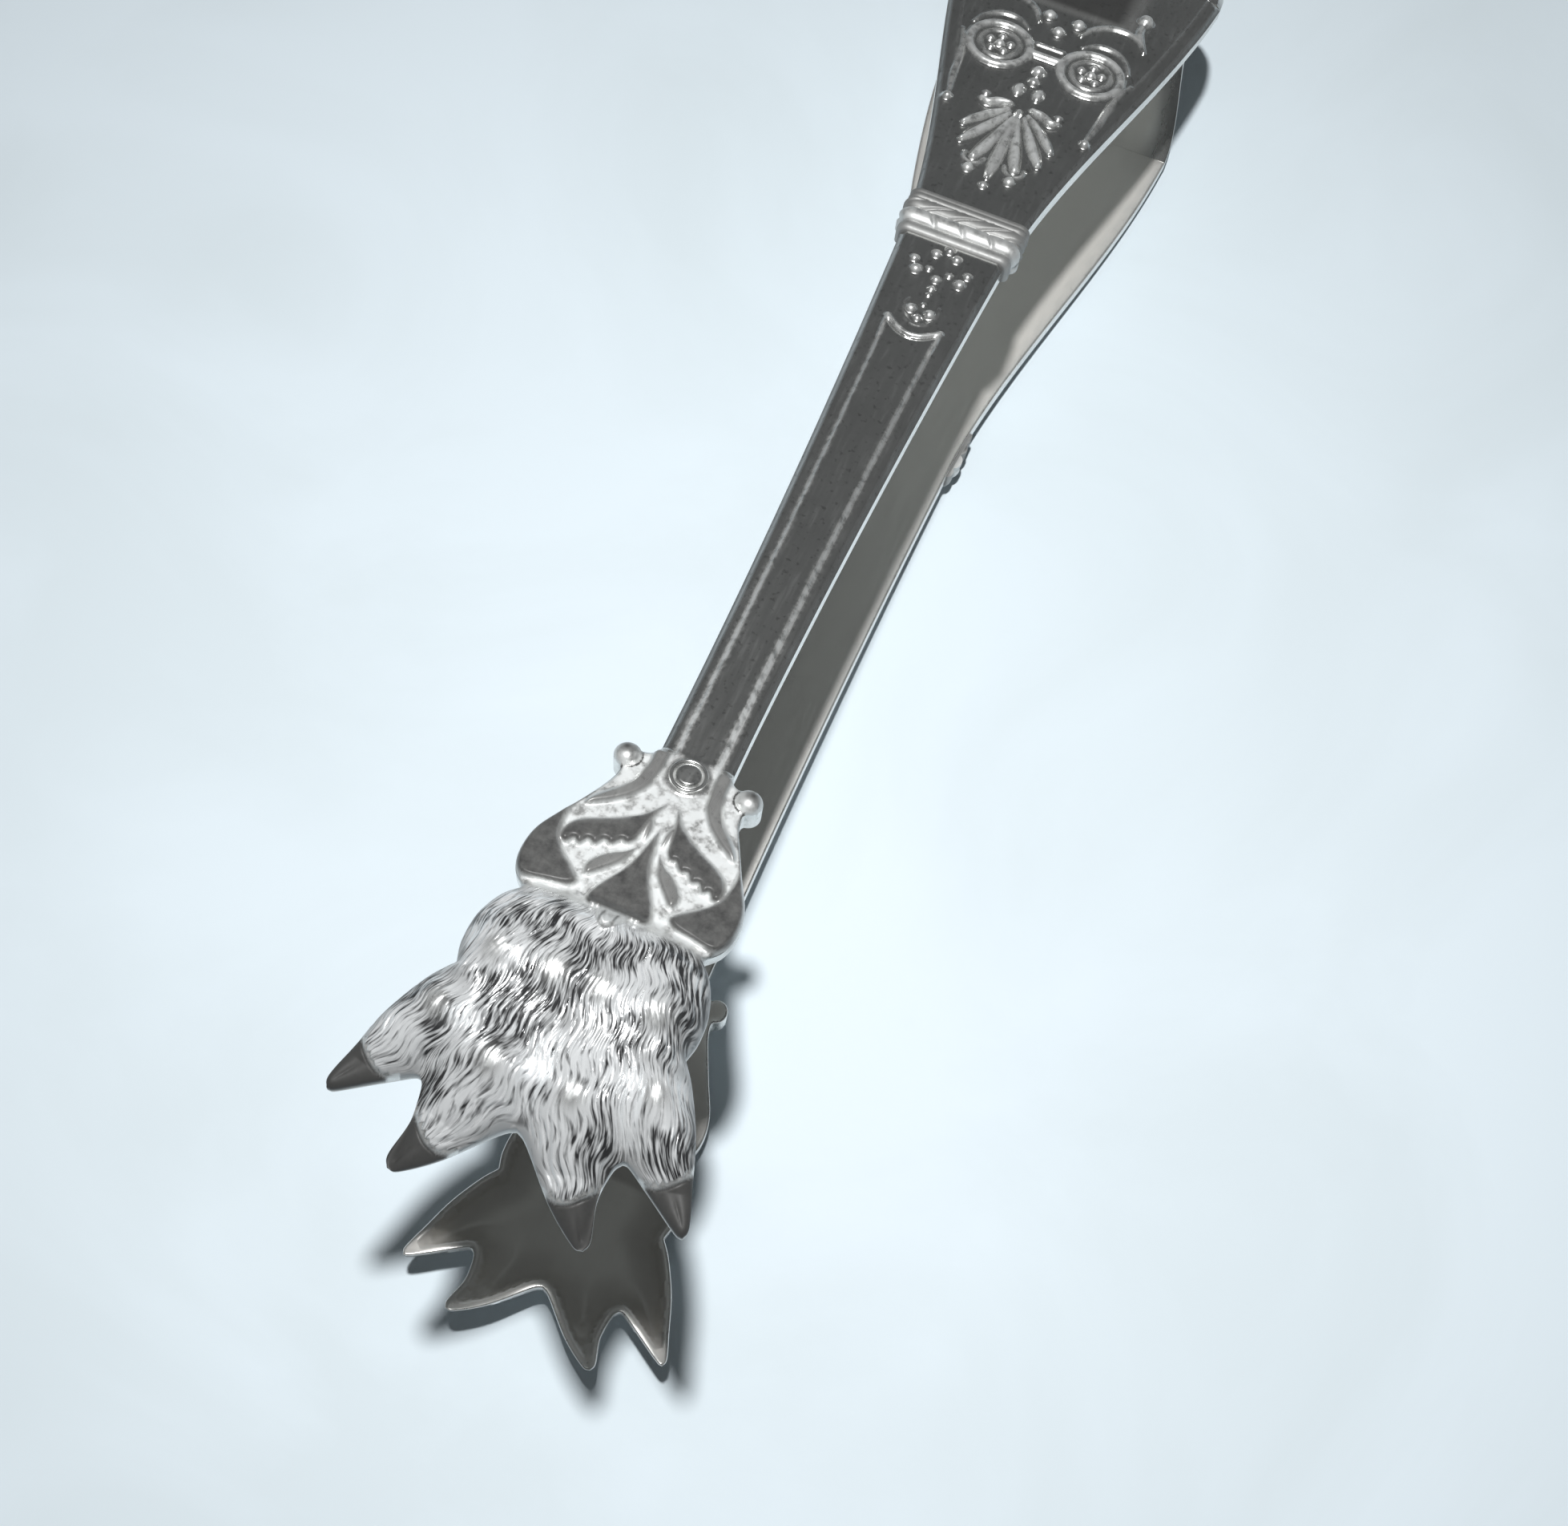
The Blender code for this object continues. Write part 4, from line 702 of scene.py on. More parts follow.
def make_paw():
    outline, parts = paw_shape()
    low, high = outline.min(axis=0), outline.max(axis=0)
    furry, plain = grid_points(low, high, 0.067), grid_points(low, high, 0.085)
    points = np.vstack([furry[furry[:, 1] < 13.9], plain[plain[:, 1] > 13.95]])
    rings = [inset_ring(outline, inset) for inset in (0.02, 0.06, 0.12, 0.2, 0.29)]
    face_points = np.vstack(rings + [well_inside(points, outline, 0.36)])
    rings = [inset_ring(outline, inset) for inset in (0.05, 0.14, 0.3, 0.55)]
    back_points = np.vstack(rings + [well_inside(grid_points(low, high, 0.3), outline, 0.75)])

    def face_height(places):
        return level(places[:, 1]) + parts(places)["height"]

    def back_height(places):
        y = places[:, 1]
        edge = distance_to_path(places, outline)
        hollow = (PAW_DOME + PAW_RIM - PAW_WALL) * dome(clamped((edge - 0.55) / PAW_DOME_REACH), 1.0)
        hollow = hollow * clamped((0.62 * KNEE_Y - y) / 5.0)
        back_level = level(y) - paw_rim(y) + hollow + 0.14 * (1 - dome(edge, 0.14))
        return np.minimum(back_level, np.where(edge > 0.3, face_height(places) - LEAST_WALL, back_level))

    verts, faces, count = plate(outline, face_points, [], back_points, face_height, back_height)
    p = parts(verts[:count, :2])
    patch = ease(p["patch"], -0.5, 0.5)
    valley = bell(p["side"], 0.4) * ease(8.0 - p["y"], 0.0, 4.0)
    patch = np.maximum(patch, 0.6 * valley)
    hairy, share, y = p["hairy"], p["share"], p["y"]
    open_field = clamped(1.0 - p["relief"] / 0.35) * (1 - ease(13.6 - y, 0.0, 0.8))
    open_field = open_field * (p["ball"] < -0.2) * (1 - 0.8 * p["tongue"])
    # Painted highlight: a pale line along the slope round the boss's land
    tongue_line = clamped(1 - np.abs(p["tongue"] - 0.45) / 0.4) * ease(y, 22.0, 24.0)
    pale = np.maximum(open_field * ease(p["raw"], 0.02, 0.2), np.maximum(0.7 * tongue_line, 0.4 * p["cuticle"]))
    # Painted highlight: a pale blob on each knuckle's crest, where the glint falls
    pale = np.maximum(pale, 0.6 * hairy * p["crest"] ** 2)
    # Painted highlights on the slopes beside the panel, carried over from the arm at the seam
    pale = (1 - share) * pale + share * 0.95 * on_slope(p["side"], y)
    # Painted shade in the engraved lines and along the fur's outline
    soot = hairy * np.maximum(0.4 * p["engraved"], 0.6 * (1 - ease(p["raw"], 0.1, 1.0)))
    # Painted shade in the band between the two rows of knuckles, patchy and kept off the crests
    hollow = bell(y - 6.1, 1.0) * (1 - p["crest"]) * (0.4 + 0.6 * patch)
    soot = np.maximum(soot, 0.6 * hairy * hollow)
    # Dark tarnish on the talons, and painted shade in the groove at their base, both fading out at the seam
    soot = np.maximum(soot, np.maximum(0.93 * p["talon"], clamped(1.5 * p["groove"]))) * (1 - share)
    raised = clamped(p["relief"] / 0.4) * (1 - ease(12.6 - y, 0.0, 1.0))
    finger = raised * ease(p["relief"], 0.56, 0.44) * (1 - share)
    # Painted light and shade: the relief's slopes towards the bow paler, those towards the toes darker
    pale = np.maximum(pale, 0.5 * raised * clamped(p["lit"]) * (1 - share))
    soot = np.maximum(soot, 0.85 * raised * clamped(-p["lit"]) * (1 - share))
    # Painted shade of a hollow: a dark spot off the ball's middle, on an otherwise pale ball
    ball_hollow_shade = np.exp(-((p["side"] - BALL[0] - 0.18) ** 2 + (y - BALL[1] - 0.28) ** 2) / 0.26) * (p["ball"] > 0)
    pale = np.maximum(pale, 0.65 * (p["ball"] > 0) * (1 - ball_hollow_shade))
    soot = np.maximum(soot, 0.9 * ball_hollow_shade)
    grey = np.maximum(raised - 0.35 * finger, 0.8 * p["talon"]) * (1 - share)
    tip = ease(p["relief"], 0.02, 0.25) * ease(y, 13.75, 13.25) * ease(y, 11.6, 12.0) * (p["side"] < 1.6)
    seams = bell(p["side"] - 0.42, 0.09) * ease(y, 13.5, 13.0)
    pale = np.maximum(pale, 0.85 * tip * (1 - 0.8 * seams))
    soot = np.maximum(soot * (1 - tip), 0.6 * tip * seams)
    grey, hairy = grey * (1 - tip), hairy * (1 - tip)
    dark = 0.2 * (1 - share) + 0.6 * share
    column, _ = flow_place(verts[:count, :2])
    depth = distance_to_path(verts[count:, :2], outline)
    inner = 0.35 + 0.65 * ease(depth, 0.05, 0.5)
    # The strands thin out under the painted highlights on the crests; the back darkens a little from the calyx
    # towards the toes
    tones = face_and_back(inner, pale=pale * (1 - p["talon"]), dark=dark, grey=grey, patch=patch,
                          fur=hairy * (1 - 0.75 * p["crest"] ** 2), flow_across=column, flow_along=y,
                          soot=(soot, 0.12 * inner * ease(20.0 - verts[count:, 1], 0.0, 8.0)))
    return verts, faces, tones


# Arm


def arm_relief():
    """Ornament on the arm's outer face: shaft panel, cross, flower, palmette and scrolls."""
    relief = Relief((-12.0, SEAM_Y - 0.5), (12.0, SHOULDER_Y + 0.5), 0.06)

    def pair(x, y, radius, height, stretch=1.0):
        relief.bead(x, y, radius, height, stretch)
        relief.bead(-x, y, radius, height, stretch)

    def pair_ridge(path, widths, height, sharp=0.5):
        smooth = smooth_curve(np.column_stack([np.array(path, float), np.broadcast_to(widths, len(path))]), 0.15)
        for side in (1, -1):
            relief.ridge(smooth[:, :2] * (side, 1), smooth[:, 2], height, sharp)

    relief.ridge(smooth_curve([(-2.1, 68.5), (-1.6, 68.1), (-0.85, 67.6), (0, 67.4), (0.85, 67.6), (1.6, 68.1),
                               (2.1, 68.5)], 0.1), 0.24, 0.32)
    pair(2.1, 68.5, 0.3, 0.36)
    pair_ridge([(2.1, 68.4), (2.08, 67.2), (2.0, 66.0)], 0.16, 0.3)
    for x, y, radius in ((-0.85, 76.3, 0.42), (0.78, 76.4, 0.42), (0, 77.05, 0.4), (-1.8, 74.1, 0.5),
                         (-2.25, 75.1, 0.38), (-0.85, 74.55, 0.3), (1.8, 74.0, 0.5), (2.1, 75.1, 0.38),
                         (0.8, 74.55, 0.3), (0, 73.7, 0.4), (0, 72.6, 0.36), (0, 71.95, 0.24),
                         (-0.75, 70.05, 0.45), (0.72, 70.0, 0.47), (0, 69.3, 0.38), (0, 70.8, 0.22)):
        relief.bead(x, y, radius, 0.85 * radius)
    pair_ridge([(1.2, 70.95), (1.36, 70.2), (1.1, 69.3), (0.5, 68.75), (0, 68.65)], 0.13, 0.12)

    middle = smooth_curve([(0, 94.8), (0, 91), (0, 88), (0, 86.1)], 0.2)
    share = np.linspace(0, 1, len(middle))
    relief.ridge(middle, np.interp(share, [0, 0.4, 0.8, 1], [0.25, 0.5, 0.52, 0.2]), 0.32)
    relief.bead(0, 85.2, 0.42, 0.36)
    pair_ridge([(0.3, 93.7), (0.75, 91.6), (1.3, 89.4), (1.75, 87.9)], [0.16, 0.42, 0.54, 0.44], 0.46, 1.0)
    pair_ridge([(0.85, 88.1), (1.15, 87.45), (1.8, 87.15), (2.45, 87.5), (2.5, 88.2)], 0.17, 0.3)
    pair(1.75, 86.55, 0.5, 0.42)
    pair_ridge([(0.6, 94.1), (1.6, 92.3), (2.6, 90.5), (3.3, 89.3)], [0.18, 0.46, 0.52, 0.26], 0.5, 1.0)
    pair_ridge([(0.8, 94.5), (2.0, 93.4), (3.0, 92.3), (3.75, 91.3)], [0.18, 0.42, 0.46, 0.26], 0.5, 1.0)
    pair_ridge([(0.9, 95.3), (1.9, 95.1), (2.7, 94.6), (3.35, 94.8)], [0.28, 0.5, 0.44, 0.26], 0.48, 1.0)
    pair(3.15, 95.6, 0.34, 0.28)
    pair(0.85, 97.3, 0.5, 0.42, 1.7)
    relief.bead(0, 98.8, 0.52, 0.42)
    relief.bead(0, 100.1, 0.62, 0.58)
    relief.ridge([(-1.5, 102.2), (1.3, 102.2)], 0.4, 0.36)
    relief.ridge([(-1.2, 103.6), (1.1, 103.6)], 0.22, 0.2)
    for x, y in ((VOLUTE[0], VOLUTE[1]), (-VOLUTE[0], VOLUTE[1])):
        relief.ring(x, y, 2.6, 0.4, 0.36)
        relief.ring(x, y, 1.7, 0.26, 0.2)
        relief.bead(x, y, 0.46, 0.4)
        for turn in np.radians(np.arange(18, 378, 72)):
            relief.bead(x + 0.95 * math.cos(turn), y + 0.95 * math.sin(turn), 0.38, 0.34)
    pair(1.3, 107.6, 0.58, 0.5)
    relief.bead(0, 105.85, 0.58, 0.5)
    pair_ridge([(1.9, 106.3), (2.6, 107.7), (4.0, 108.7), (5.5, 108.8), (6.8, 108.0)], [0.15, 0.3, 0.34, 0.3, 0.2],
               0.26)
    pair_ridge([(2.4, 105.0), (3.6, 105.9), (5.0, 105.9), (6.2, 105.0), (6.9, 103.6)], [0.12, 0.26, 0.3, 0.26, 0.15],
               0.24)
    pair_ridge([(6.0, 94.3), (6.35, 96.4), (6.55, 98.6), (6.9, 100.6), (7.5, 102.4)], [0.2, 0.34, 0.3, 0.26, 0.12],
               0.24)
    pair(5.95, 93.7, 0.45, 0.45)
    pair(6.4, 110.9, 0.74, 0.72)
    pair_ridge([(6.35, 110.2), (6.3, 109.3), (6.7, 108.2), (7.3, 107.0)], [0.3, 0.36, 0.32, 0.2], 0.3)
    edge = [(float(half_width(y)) - RIM_LINE, y) for y in np.linspace(97.0, SHOULDER_Y, 40)]
    for side in (1, -1):
        relief.ridge(np.array(edge) * (side, 1), 0.14, 0.11)
    relief.map = blurred(relief.map, 1.3) * 1.15
    return relief


def make_arm():
    relief = arm_relief()
    stations = np.append(np.arange(SEAM_Y, SHOULDER_Y, 0.35), SHOULDER_Y)
    half = [(0.0, SHOULDER_Y)]
    half += [(float(half_width(SHOULDER_Y)) * s, SHOULDER_Y) for s in (0.2, 0.4, 0.6, 0.8, 0.9)]
    half += [(float(half_width(y)), float(y)) for y in stations[::-1]]
    half += [(x, SEAM_Y) for x in SEAM_POINTS[::-1]]
    outline = both_sides(half)[: 2 * len(half) - 2]

    lines = []
    for side in (1, -1):
        for gap in (0.06, 0.25, 0.44, 0.52):
            lines.append([(side * (half_width(y) - gap), y) for y in stations[1:-1]])
        for share in (-0.15, 0.0, 0.2, 0.4, 0.6, 0.8, 1.0, 1.15):
            gap = share * RIDGE_SLOPE
            lines.append([(side * (RIDGE_SHARE * half_width(y) + gap), y)
                          for y in stations[1:-1] if y < PANEL_END])

    def edge_gap(places):
        return half_width(places[:, 1]) - np.abs(places[:, 0])

    def ornate(places, spare):
        """Whether places lie on ornament or on the rim's line, with some room to spare."""
        y = places[:, 1]
        on_rim = (y >= 96.5 - 2.5 * spare) & (np.abs(edge_gap(places) - RIM_LINE) < 0.35 + 0.25 * spare)
        for low, high in ORNATE_ZONES:
            on_rim |= (y > low - spare) & (y < high + spare)
        return on_rim

    def spread_points(pitch, margin):
        places = grid_points((-12, SEAM_Y), (12, SHOULDER_Y), pitch)
        y = places[:, 1]
        return places[(edge_gap(places) > 0.6) & (y > SEAM_Y + margin) & (y < SHOULDER_Y - margin)]

    coarse, fine = spread_points(0.45, 0.05), spread_points(0.105, 0.05)
    points = np.vstack([coarse[~ornate(coarse, 0.2)], fine[ornate(fine, 0.0)]])
    band = np.abs(np.abs(points[:, 0]) - RIDGE_SHARE * half_width(points[:, 1]) - 0.5 * RIDGE_SLOPE)
    points = points[(band > 0.8 * RIDGE_SLOPE) | (points[:, 1] > PANEL_END)]

    def face_height(places):
        x, y = np.abs(places[:, 0]), places[:, 1]
        width = half_width(y)
        end = 0.25 * x ** 2 * (x < 2.2)
        along = 1 - ease(y, PANEL_END - 0.45 + end - 0.35, PANEL_END + end)
        ridge = RIDGE_HEIGHT * along * panel_edge(x, width)
        return level(y) + np.maximum(ridge, relief.at(places)) - chamfer(np.maximum(width - x, 0.0))

    rings = []
    for gap in (0.05, 0.15, 0.3):
        rings.append(np.array([(side * (half_width(y) - gap), y) for y in stations[1:-1] for side in (1, -1)]))

    def back_height(places):
        y = places[:, 1]
        return level(y) - thickness(y) + 0.15 * (1 - dome(edge_gap(places), 0.15))

    verts, faces, count = plate(outline, points, lines, np.vstack(rings + [spread_points(0.9, 0.2)]), face_height,
                                back_height)
    face = verts[:count, :2]
    x, y = np.abs(face[:, 0]), face[:, 1]
    raised = relief.at(face)
    # Painted light: raised ornament paler the higher it stands, as if lit from above
    pale = 0.6 * clamped(raised / 0.45) ** 1.2
    # Painted highlights on the slopes beside the panel, fading from the knee towards the panel's end
    pale = np.maximum(pale, on_slope(x, y) * (y < PANEL_END) * np.interp(y, *SLOPE_HIGHLIGHT))
    dark = clamped(1.0 - raised * 5) * 0.6
    # Painted dark reflection on the plain middle of the shoulder
    soot = 0.9 * ease(y, 108.4, 110.0) * ease(x, 6.5, 4.0) * clamped(1.0 - raised * 5)
    inner = 0.35 + 0.65 * ease(edge_gap(verts[count:]), 0.05, 0.5)
    return verts, faces, face_and_back(inner, pale=pale, dark=dark, soot=soot)


# Collar, boss and bow


def loft(sections):
    """A closed skin over sections of one size, with a cap at each end."""
    count = len(sections[0])
    verts = np.array([p for section in sections for p in section])
    faces = []
    for k in range(len(sections) - 1):
        a, b = k * count, (k + 1) * count
        for i in range(count):
            j = (i + 1) % count
            faces.append((a + i, a + j, b + j, b + i))
    faces.append(tuple(reversed(range(count))))
    faces.append(tuple(range(len(verts) - count, len(verts))))
    return verts, faces


def make_collar():
    """A band over the arm's face and edges: a reed, a rope of long beads, a twisted ribbon and a double reed."""
    length, depth, corner = COLLAR_LENGTH, 1.7, 0.55
    along = np.linspace(-0.5 * length, 0.5 * length, 76)
    half = float(half_width(COLLAR_Y)) - 0.06
    path = []
    for z in np.arange(-depth, -corner, 0.12):
        path.append((half, z, 1.0, 0.0))
    for angle in np.radians(np.linspace(0, 90, 9)):
        path.append((half - corner + corner * math.cos(angle), -corner + corner * math.sin(angle),
                     math.cos(angle), math.sin(angle)))
    for x in np.arange(half - corner - 0.08, 0.0, -0.08):
        path.append((x, 0.0, 0.0, 1.0))
    path = np.array(path + [(-x, z, -dx, dz) for x, z, dx, dz in reversed(path)])
    run = np.concatenate([[0.0], np.cumsum(np.hypot(np.diff(path[:, 0]), np.diff(path[:, 1])))])
    run = run - 0.5 * run[-1]

    def round_reed(v, low, high, height):
        middle, radius = 0.5 * (low + high), 0.5 * (high - low)
        return height * np.sqrt(np.maximum(1 - ((v - middle) / radius) ** 2, 0.0))

    sections = []
    v = along + 0.5 * length
    for (x, z, dx, dz), s in zip(path, run):
        lower = round_reed(v, 0.05, 1.05, 0.34)
        bead = np.abs(np.sin(math.pi * (s - 0.5 * (v - 1.8) + 0.1) / 2.4))
        rope = round_reed(v, 1.02, 2.52, 0.62) * (0.6 + 0.4 * clamped(bead * 2.4) ** 0.7)
        turn = (s + 2.2 * (v - 3.1) + 0.3) / 2.3
        twist = np.abs(turn - np.round(turn)) * 2.3
        ribbon = round_reed(v, 2.5, 3.78, 0.46) * (0.45 + 0.55 * clamped(twist / 0.42) ** 0.8)
        upper = np.maximum(round_reed(v, 3.74, 4.36, 0.26), round_reed(v, 4.28, 4.88, 0.2))
        height = 0.18 + np.maximum.reduce([lower, rope, ribbon, upper])
        section = [(x + dx * h, COLLAR_MIDDLE + a, z + dz * h) for h, a in zip(height, along)]
        section += [(x, COLLAR_MIDDLE + 0.5 * length, z), (x, COLLAR_MIDDLE - 0.5 * length, z)]
        sections.append(section)
    verts, faces = loft(sections)
    verts[:, 0] = verts[:, 0] * (half_width(verts[:, 1]) / half_width(COLLAR_Y))
    verts[:, 2] = verts[:, 2] + level(verts[:, 1]) - 0.12
    faces = [tuple(reversed(f)) for f in faces]
    count = len(sections[0])
    pale, dark = np.zeros(len(verts)), np.zeros(len(verts))
    v = np.concatenate([v, [length, 0.0]])
    # Painted sheen on the reeds, strongest on the rope's beads, and painted shade in the crevices between the reeds;
    # dull gives some reeds a darker tarnish
    shade = np.interp(v, [0.0, 0.9, 1.1, 2.4, 2.6, 3.7, 4.9], [0.2, 0.2, 0.42, 0.38, 0.1, 0.08, 0.06])
    for k, section in enumerate(sections):
        heights = np.array([np.hypot(p[0] - path[k, 0], p[2] - path[k, 1]) for p in section])
        low = clamped((0.42 - heights) / 0.2)
        pale[k * count:(k + 1) * count] = shade * (1 - low)
        dark[k * count:(k + 1) * count] = low
    dull = np.tile(np.interp(v, [0.9, 1.2, 2.3, 2.6], [0.55, 0.15, 0.15, 0.66]), len(sections))
    return verts, faces, (("pale", pale), ("dark", 0.6 * dark), ("soot", np.maximum(0.7 * dark, dull)))


def make_boss():
    """The rivet's head: a ring, a groove and a low dome, square on the arm at the knee."""
    bottom, top, total = -0.9, 0.35, 72
    profile = [(1.2, bottom), (1.27, 0.12)]
    for angle in np.radians(np.linspace(0, 180, 13)):
        profile.append((1.13 + 0.14 * math.cos(angle), 0.12 + 0.15 * math.sin(angle)))
    profile += [(0.95, 0.05), (0.9, 0.04), (0.86, 0.08)]
    for angle in np.radians(np.linspace(0, 90, 10)):
        profile.append((0.62 + 0.22 * math.cos(angle), 0.12 + 0.2 * math.sin(angle)))
    profile += [(0.4, 0.34), (0.2, top)]
    count = len(profile)
    verts = []
    for turn in np.linspace(0, 2 * math.pi, total, endpoint=False):
        verts += [(r * math.cos(turn), r * math.sin(turn), z) for r, z in profile]
    verts = np.array(verts + [(0, 0, bottom), (0, 0, top)])
    faces = []
    for k in range(total):
        a, b = k * count, ((k + 1) % total) * count
        for i in range(count - 1):
            faces.append((a + i, b + i, b + i + 1, a + i + 1))
        faces.append((total * count, b, a))
        faces.append((total * count + 1, a + count - 1, b + count - 1))
    tilt = math.atan(SHAFT_SLOPE) + 0.06
    c, s = math.cos(tilt), math.sin(tilt)
    y, z = verts[:, 1] * c + verts[:, 2] * s, -verts[:, 1] * s + verts[:, 2] * c
    verts = np.column_stack([verts[:, 0], KNEE_Y + y, KNEE_HALF_GAP + 0.42 + z])
    radius = np.concatenate([np.tile([r for r, _ in profile], total), [0, 0]])
    pale = bell(radius - 0.92, 0.07) * 0.5
    return verts, faces, (("pale", np.maximum(pale, 0.1)), ("dark", np.where(radius < 0.8, 0.4, 0.2)))


def make_bow_half():
    """Half of the bow, from the shoulder round to the crown, as sections of a band with bevelled edges."""
    sections = []
    for angle in np.linspace(REST_ANGLE, math.pi / 2, 60):
        crown = math.sin(math.pi * (angle - REST_ANGLE) / (math.pi - 2 * REST_ANGLE))
        width = SHOULDER_HALF_WIDTH + (CROWN_HALF_WIDTH - SHOULDER_HALF_WIDTH) * crown ** 2
        thick = BOW_THICKNESS + (CROWN_THICKNESS - BOW_THICKNESS) * crown
        right = [(width - 0.15, thick), (width - 0.04, thick - 0.06), (width, thick - 0.15)]
        right += [(width - gap, float(chamfer(gap))) for gap in (0.0, 0.06, 0.25, 0.44, 0.52)]
        for gap in (1.0, 1.11, 1.18, RIM_LINE, 1.32, 1.39, 1.5):
            right.append((width - gap, -0.11 * math.sqrt(max(1 - ((gap - RIM_LINE) / 0.14) ** 2, 0.0))))
        right += [(width * share, 0.0) for share in (0.8, 0.6, 0.4, 0.2)]
        back = [(width * share, thick) for share in (0.25, 0.5, 0.75)]
        half = back + right
        ring = half + [(0.0, 0.0)] + [(-x, depth) for x, depth in reversed(half)] + [(0.0, thick)]
        radii = [BOW_RADIUS - depth for _, depth in ring]
        sections.append([(x, BOW_Y + radius * math.sin(angle), radius * math.cos(angle))
                         for (x, _), radius in zip(ring, radii)])
    verts, faces = loft(sections)
    count = len(sections[0])
    inner = np.zeros(len(verts))
    for k in range(len(sections)):
        inner[k * count:k * count + 3] = 1.0
        inner[(k + 1) * count - 4:(k + 1) * count] = 1.0
    return verts, faces, (("dark", np.full(len(verts), 0.6)), ("inner", inner))


# Materials


def node(tree, kind, **values):
    made = tree.nodes.new(kind)
    for key, value in values.items():
        setattr(made, key, value)
    return made


def noise(tree, vector, **settings):
    made = node(tree, "ShaderNodeTexNoise")
    for key, value in settings.items():
        made.inputs[key].default_value = value
    tree.links.new(vector, made.inputs["Vector"])
    return made.outputs["Fac"]


def ramp(tree, source, *stops):
    """Colours over a value, each stop given as a position and a colour."""
    made = node(tree, "ShaderNodeValToRGB")
    for element, (position, colour) in zip(made.color_ramp.elements, stops):
        element.position, element.color = position, (*colour, 1)
    tree.links.new(source, made.inputs["Fac"])
    return made.outputs["Color"]


def new_material(name):
    material = bpy.data.materials.new(name)
    material.use_nodes = True
    tree = material.node_tree
    place = node(tree, "ShaderNodeTexCoord").outputs["Object"]
    return material, tree, tree.nodes["Principled BSDF"], place


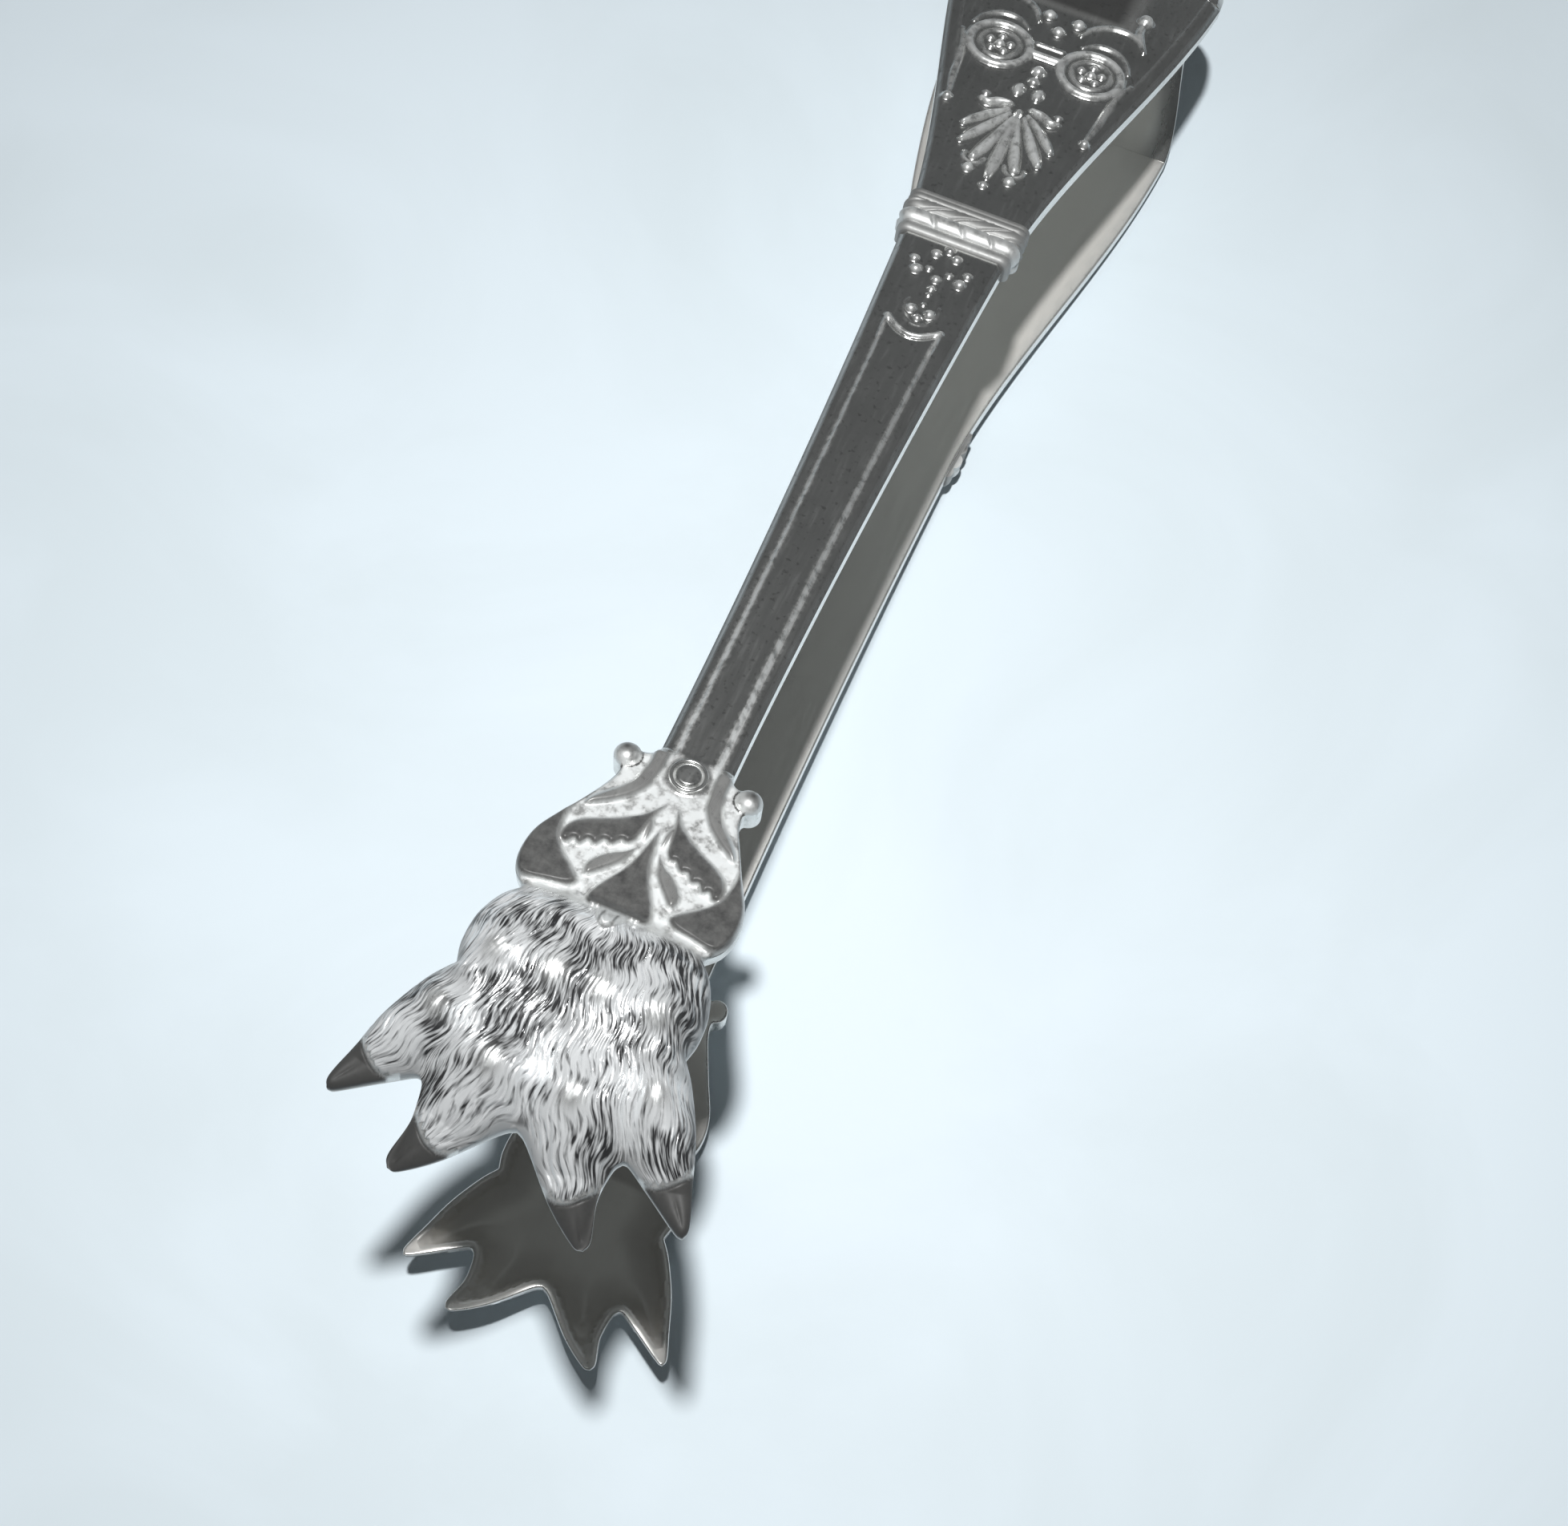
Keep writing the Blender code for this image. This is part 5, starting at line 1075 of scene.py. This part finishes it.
def silver(name, rough, grain, speck, furred=False):
    """Worn silver: cloudy tarnish, fine rubs, dark pits, patina, pale matte hollows, darker backs and engraved hairs,
    with the painted highlights and painted shade that the pieces' tones carry.
    """
    material, tree, shader, place = new_material(name)
    link = tree.links.new
    rubs = node(tree, "ShaderNodeMapping")
    rubs.inputs["Scale"].default_value = (2600.0, 240.0, 900.0)
    link(place, rubs.inputs["Vector"])
    rub = noise(tree, rubs.outputs["Vector"], Scale=1.0, Detail=4.0)
    cloud = noise(tree, place, Scale=260.0, Detail=6.0, Roughness=0.62)
    pits = noise(tree, place, Scale=2600.0, Detail=3.0)
    mottle = noise(tree, place, Scale=1150.0, Detail=5.0, Roughness=0.66)

    def tone(key):
        found = node(tree, "ShaderNodeAttribute", attribute_name=key)
        return found.outputs["Fac"]

    def spread(source, low, high, to_low=0.0, to_high=1.0):
        made = node(tree, "ShaderNodeMapRange")
        for key, value in (("From Min", low), ("From Max", high), ("To Min", to_low), ("To Max", to_high)):
            made.inputs[key].default_value = value
        link(source, made.inputs["Value"])
        return made.outputs["Result"]

    def mixed(factor, a, b):
        made = node(tree, "ShaderNodeMix", data_type="RGBA")
        link(factor, made.inputs["Factor"])
        for socket, value in ((made.inputs["A"], a), (made.inputs["B"], b)):
            if isinstance(value, tuple):
                socket.default_value = (*value, 1.0)
            else:
                link(value, socket)
        return made.outputs["Result"]

    def combined(operation, a, b, clamp=True):
        made = node(tree, "ShaderNodeMath", operation=operation, use_clamp=clamp)
        for socket, value in zip(made.inputs, (a, b)):
            if isinstance(value, (int, float)):
                socket.default_value = value
            else:
                link(value, socket)
        return made.outputs["Value"]

    def plus(base, source, share, clamp=True):
        """The base with a share of the source added."""
        return combined("ADD", base, combined("MULTIPLY", source, share, clamp), clamp)

    colour = mixed(spread(cloud, 0.35, 0.7), tuple(0.82 * c for c in SILVER), tuple(1.1 * c for c in SILVER))
    colour = mixed(tone("dark"), colour, tuple(0.7 * c for c in SILVER))
    colour = mixed(combined("MULTIPLY", spread(rub, 0.56, 0.74), 0.5), colour, RUBBED)
    colour = mixed(combined("MULTIPLY", spread(pits, 0.6, 0.7), speck), colour, PIT)
    colour = mixed(tone("grey"), colour, mixed(spread(mottle, 0.3, 0.7), *PATINA))
    colour = mixed(tone("inner"), colour, INNER)
    loss = combined("MULTIPLY", tone("grey"), 0.65)
    for key in ("inner", "soot"):
        loss = plus(loss, tone(key), 0.5)
    loss = combined("ADD", loss, 0.04)
    if furred:
        flow = node(tree, "ShaderNodeCombineXYZ")
        link(combined("MULTIPLY", tone("flow_across"), STRANDS_ACROSS, False), flow.inputs["X"])
        link(combined("MULTIPLY", tone("flow_along"), STRANDS_ALONG, False), flow.inputs["Y"])
        strand = noise(tree, flow.outputs["Vector"], Scale=1.0, Detail=2.0, Distortion=0.2)
        strands = spread(plus(strand, tone("patch"), 0.17, False), 0.44, 0.65)
        colour = mixed(tone("fur"), colour, mixed(strands, *HAIR))
        loss = plus(loss, tone("fur"), 0.5)
    # Dark tarnish, and painted shade wherever a piece paints it
    colour = mixed(tone("soot"), colour, TARNISH_AND_SHADE)
    # Pale matte deposit in the hollows, and painted highlights and painted light wherever a piece paints them
    pale = combined("MULTIPLY", tone("pale"), spread(mottle, 0.36, 0.55, 0.3, 1.0))
    link(mixed(pale, colour, PALE), shader.inputs["Base Color"])
    loss = combined("MAXIMUM", loss, combined("MULTIPLY", pale, 0.85))
    link(combined("SUBTRACT", 1.0, loss), shader.inputs["Metallic"])
    gloss = plus(spread(rub, 0.3, 0.7, rough - 0.03, rough + 0.05), pale, 0.3)
    for key, share in (("grey", 0.12), ("inner", 0.2), ("soot", 0.26)):
        gloss = plus(gloss, tone(key), share)
    link(gloss, shader.inputs["Roughness"])
    bump = node(tree, "ShaderNodeBump")
    bump.inputs["Strength"].default_value = grain
    bump.inputs["Distance"].default_value = 0.00004
    height = combined("ADD", rub, combined("MULTIPLY", cloud, 1.5), False)
    height = combined("MULTIPLY", height, combined("SUBTRACT", 1.0, tone("inner")), False)
    if furred:
        height = plus(height, strands, combined("MULTIPLY", tone("fur"), 1.5, False), False)
    link(height, bump.inputs["Height"])
    link(bump.outputs["Normal"], shader.inputs["Normal"])
    return material


def table_top():
    """Pale, faintly veined table."""
    material, tree, shader, place = new_material("pale_table")
    veins = noise(tree, place, Scale=22.0, Detail=7.0, Distortion=1.2)
    tree.links.new(ramp(tree, veins, *TABLE), shader.inputs["Base Color"])
    shader.inputs["Roughness"].default_value = 0.6
    shader.inputs["Specular IOR Level"].default_value = 0.25
    return material


# Stage


def add_lamp():
    """A small lamp straight above the shafts, placed so that the shadows' tips lie as in the photo."""
    lamp = bpy.data.lights.new("key", "AREA")
    lamp.shape = "DISK"
    lamp.size, lamp.energy = LAMP_SIZE, LAMP_WATTS
    downwards = Vector((0, 0, -1)).to_track_quat("-Z", "Y").to_matrix().to_4x4()
    add_object("key", lamp).matrix_world = Matrix.Translation(LAMP_PLACE) @ downwards


def add_stage(low):
    mesh = bpy.data.meshes.new("table")
    mesh.from_pydata([(-2, -2, low), (2, -2, low), (2, 2, low), (-2, 2, low)], [], [(0, 1, 2, 3)])
    mesh.materials.append(table_top())
    table = add_object("table", mesh)
    table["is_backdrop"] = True
    world = bpy.data.worlds.new("studio")
    bpy.context.scene.world = world
    world.use_nodes = True
    tree = world.node_tree
    place = node(tree, "ShaderNodeTexCoord")
    parts = node(tree, "ShaderNodeSeparateXYZ")
    tree.links.new(place.outputs["Generated"], parts.inputs["Vector"])
    tree.links.new(ramp(tree, parts.outputs["Z"], *SKY), tree.nodes["Background"].inputs["Color"])


def add_camera():
    """The photograph's view, from the fit of its perspective."""
    c, s = math.cos(REST_ANGLE), math.sin(REST_ANGLE)
    turn = np.array([[1, 0, 0], [0, c, s], [0, -s, c]])
    right, down, ahead = (turn @ np.array(axis) for axis in CAMERA_AXES)
    matrix = Matrix(np.column_stack([right, -down, -ahead]).tolist()).to_4x4()
    matrix.translation = to_row([CAMERA_PLACE], 1)[0]
    camera = bpy.data.cameras.new("camera")
    camera.sensor_width = SENSOR_WIDTH
    camera.lens = PHOTO_FOCAL * SENSOR_WIDTH / PHOTO_WIDTH
    camera.clip_start = 0.01
    item = add_object("camera", camera)
    item.matrix_world = matrix
    bpy.context.scene.camera = item


def main():
    bpy.context.scene.view_settings.view_transform = "Standard"
    arm_silver = silver("worn_silver_arm", 0.2, 0.3, 0.4)
    cast_silver = silver("worn_silver_cast", 0.2, 0.3, 0.4, furred=True)
    band_silver = silver("worn_silver_band", 0.4, 0.25, 0.2)
    bow_silver = silver("worn_silver_bow", 0.2, 0.3, 0.4)
    shapes = {"paw": (make_paw(), cast_silver, "silver_cast"), "arm": (make_arm(), arm_silver, "silver_arm"),
              "collar": (make_collar(), band_silver, "silver_band"),
              "rivet": (make_boss(), cast_silver, "silver_rivet")}
    for side, word in ((1, "upper"), (-1, "lower")):
        for part, ((verts, faces, tones), material, slot) in shapes.items():
            piece = add_piece(f"{word}_{part}_dressed", verts, faces, side, material, tones)
            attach(piece, word + "_side")
            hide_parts(f"{word}_{part}")
        verts, faces, tones = make_bow_half()
        half = add_piece(f"{word}_half_of_bow", verts, faces, side, bow_silver, tones)
        crown = to_row([(0, BOW_Y + BOW_RADIUS, 0)], side)[0]
        shoulder = to_row([(0, SHOULDER_Y, BOW_RADIUS * math.cos(REST_ANGLE))], side)[0]
        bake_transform(half)
        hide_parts("bow_spring")
    add_stage(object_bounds()[0].z)
    add_lamp()
    add_camera()


main()
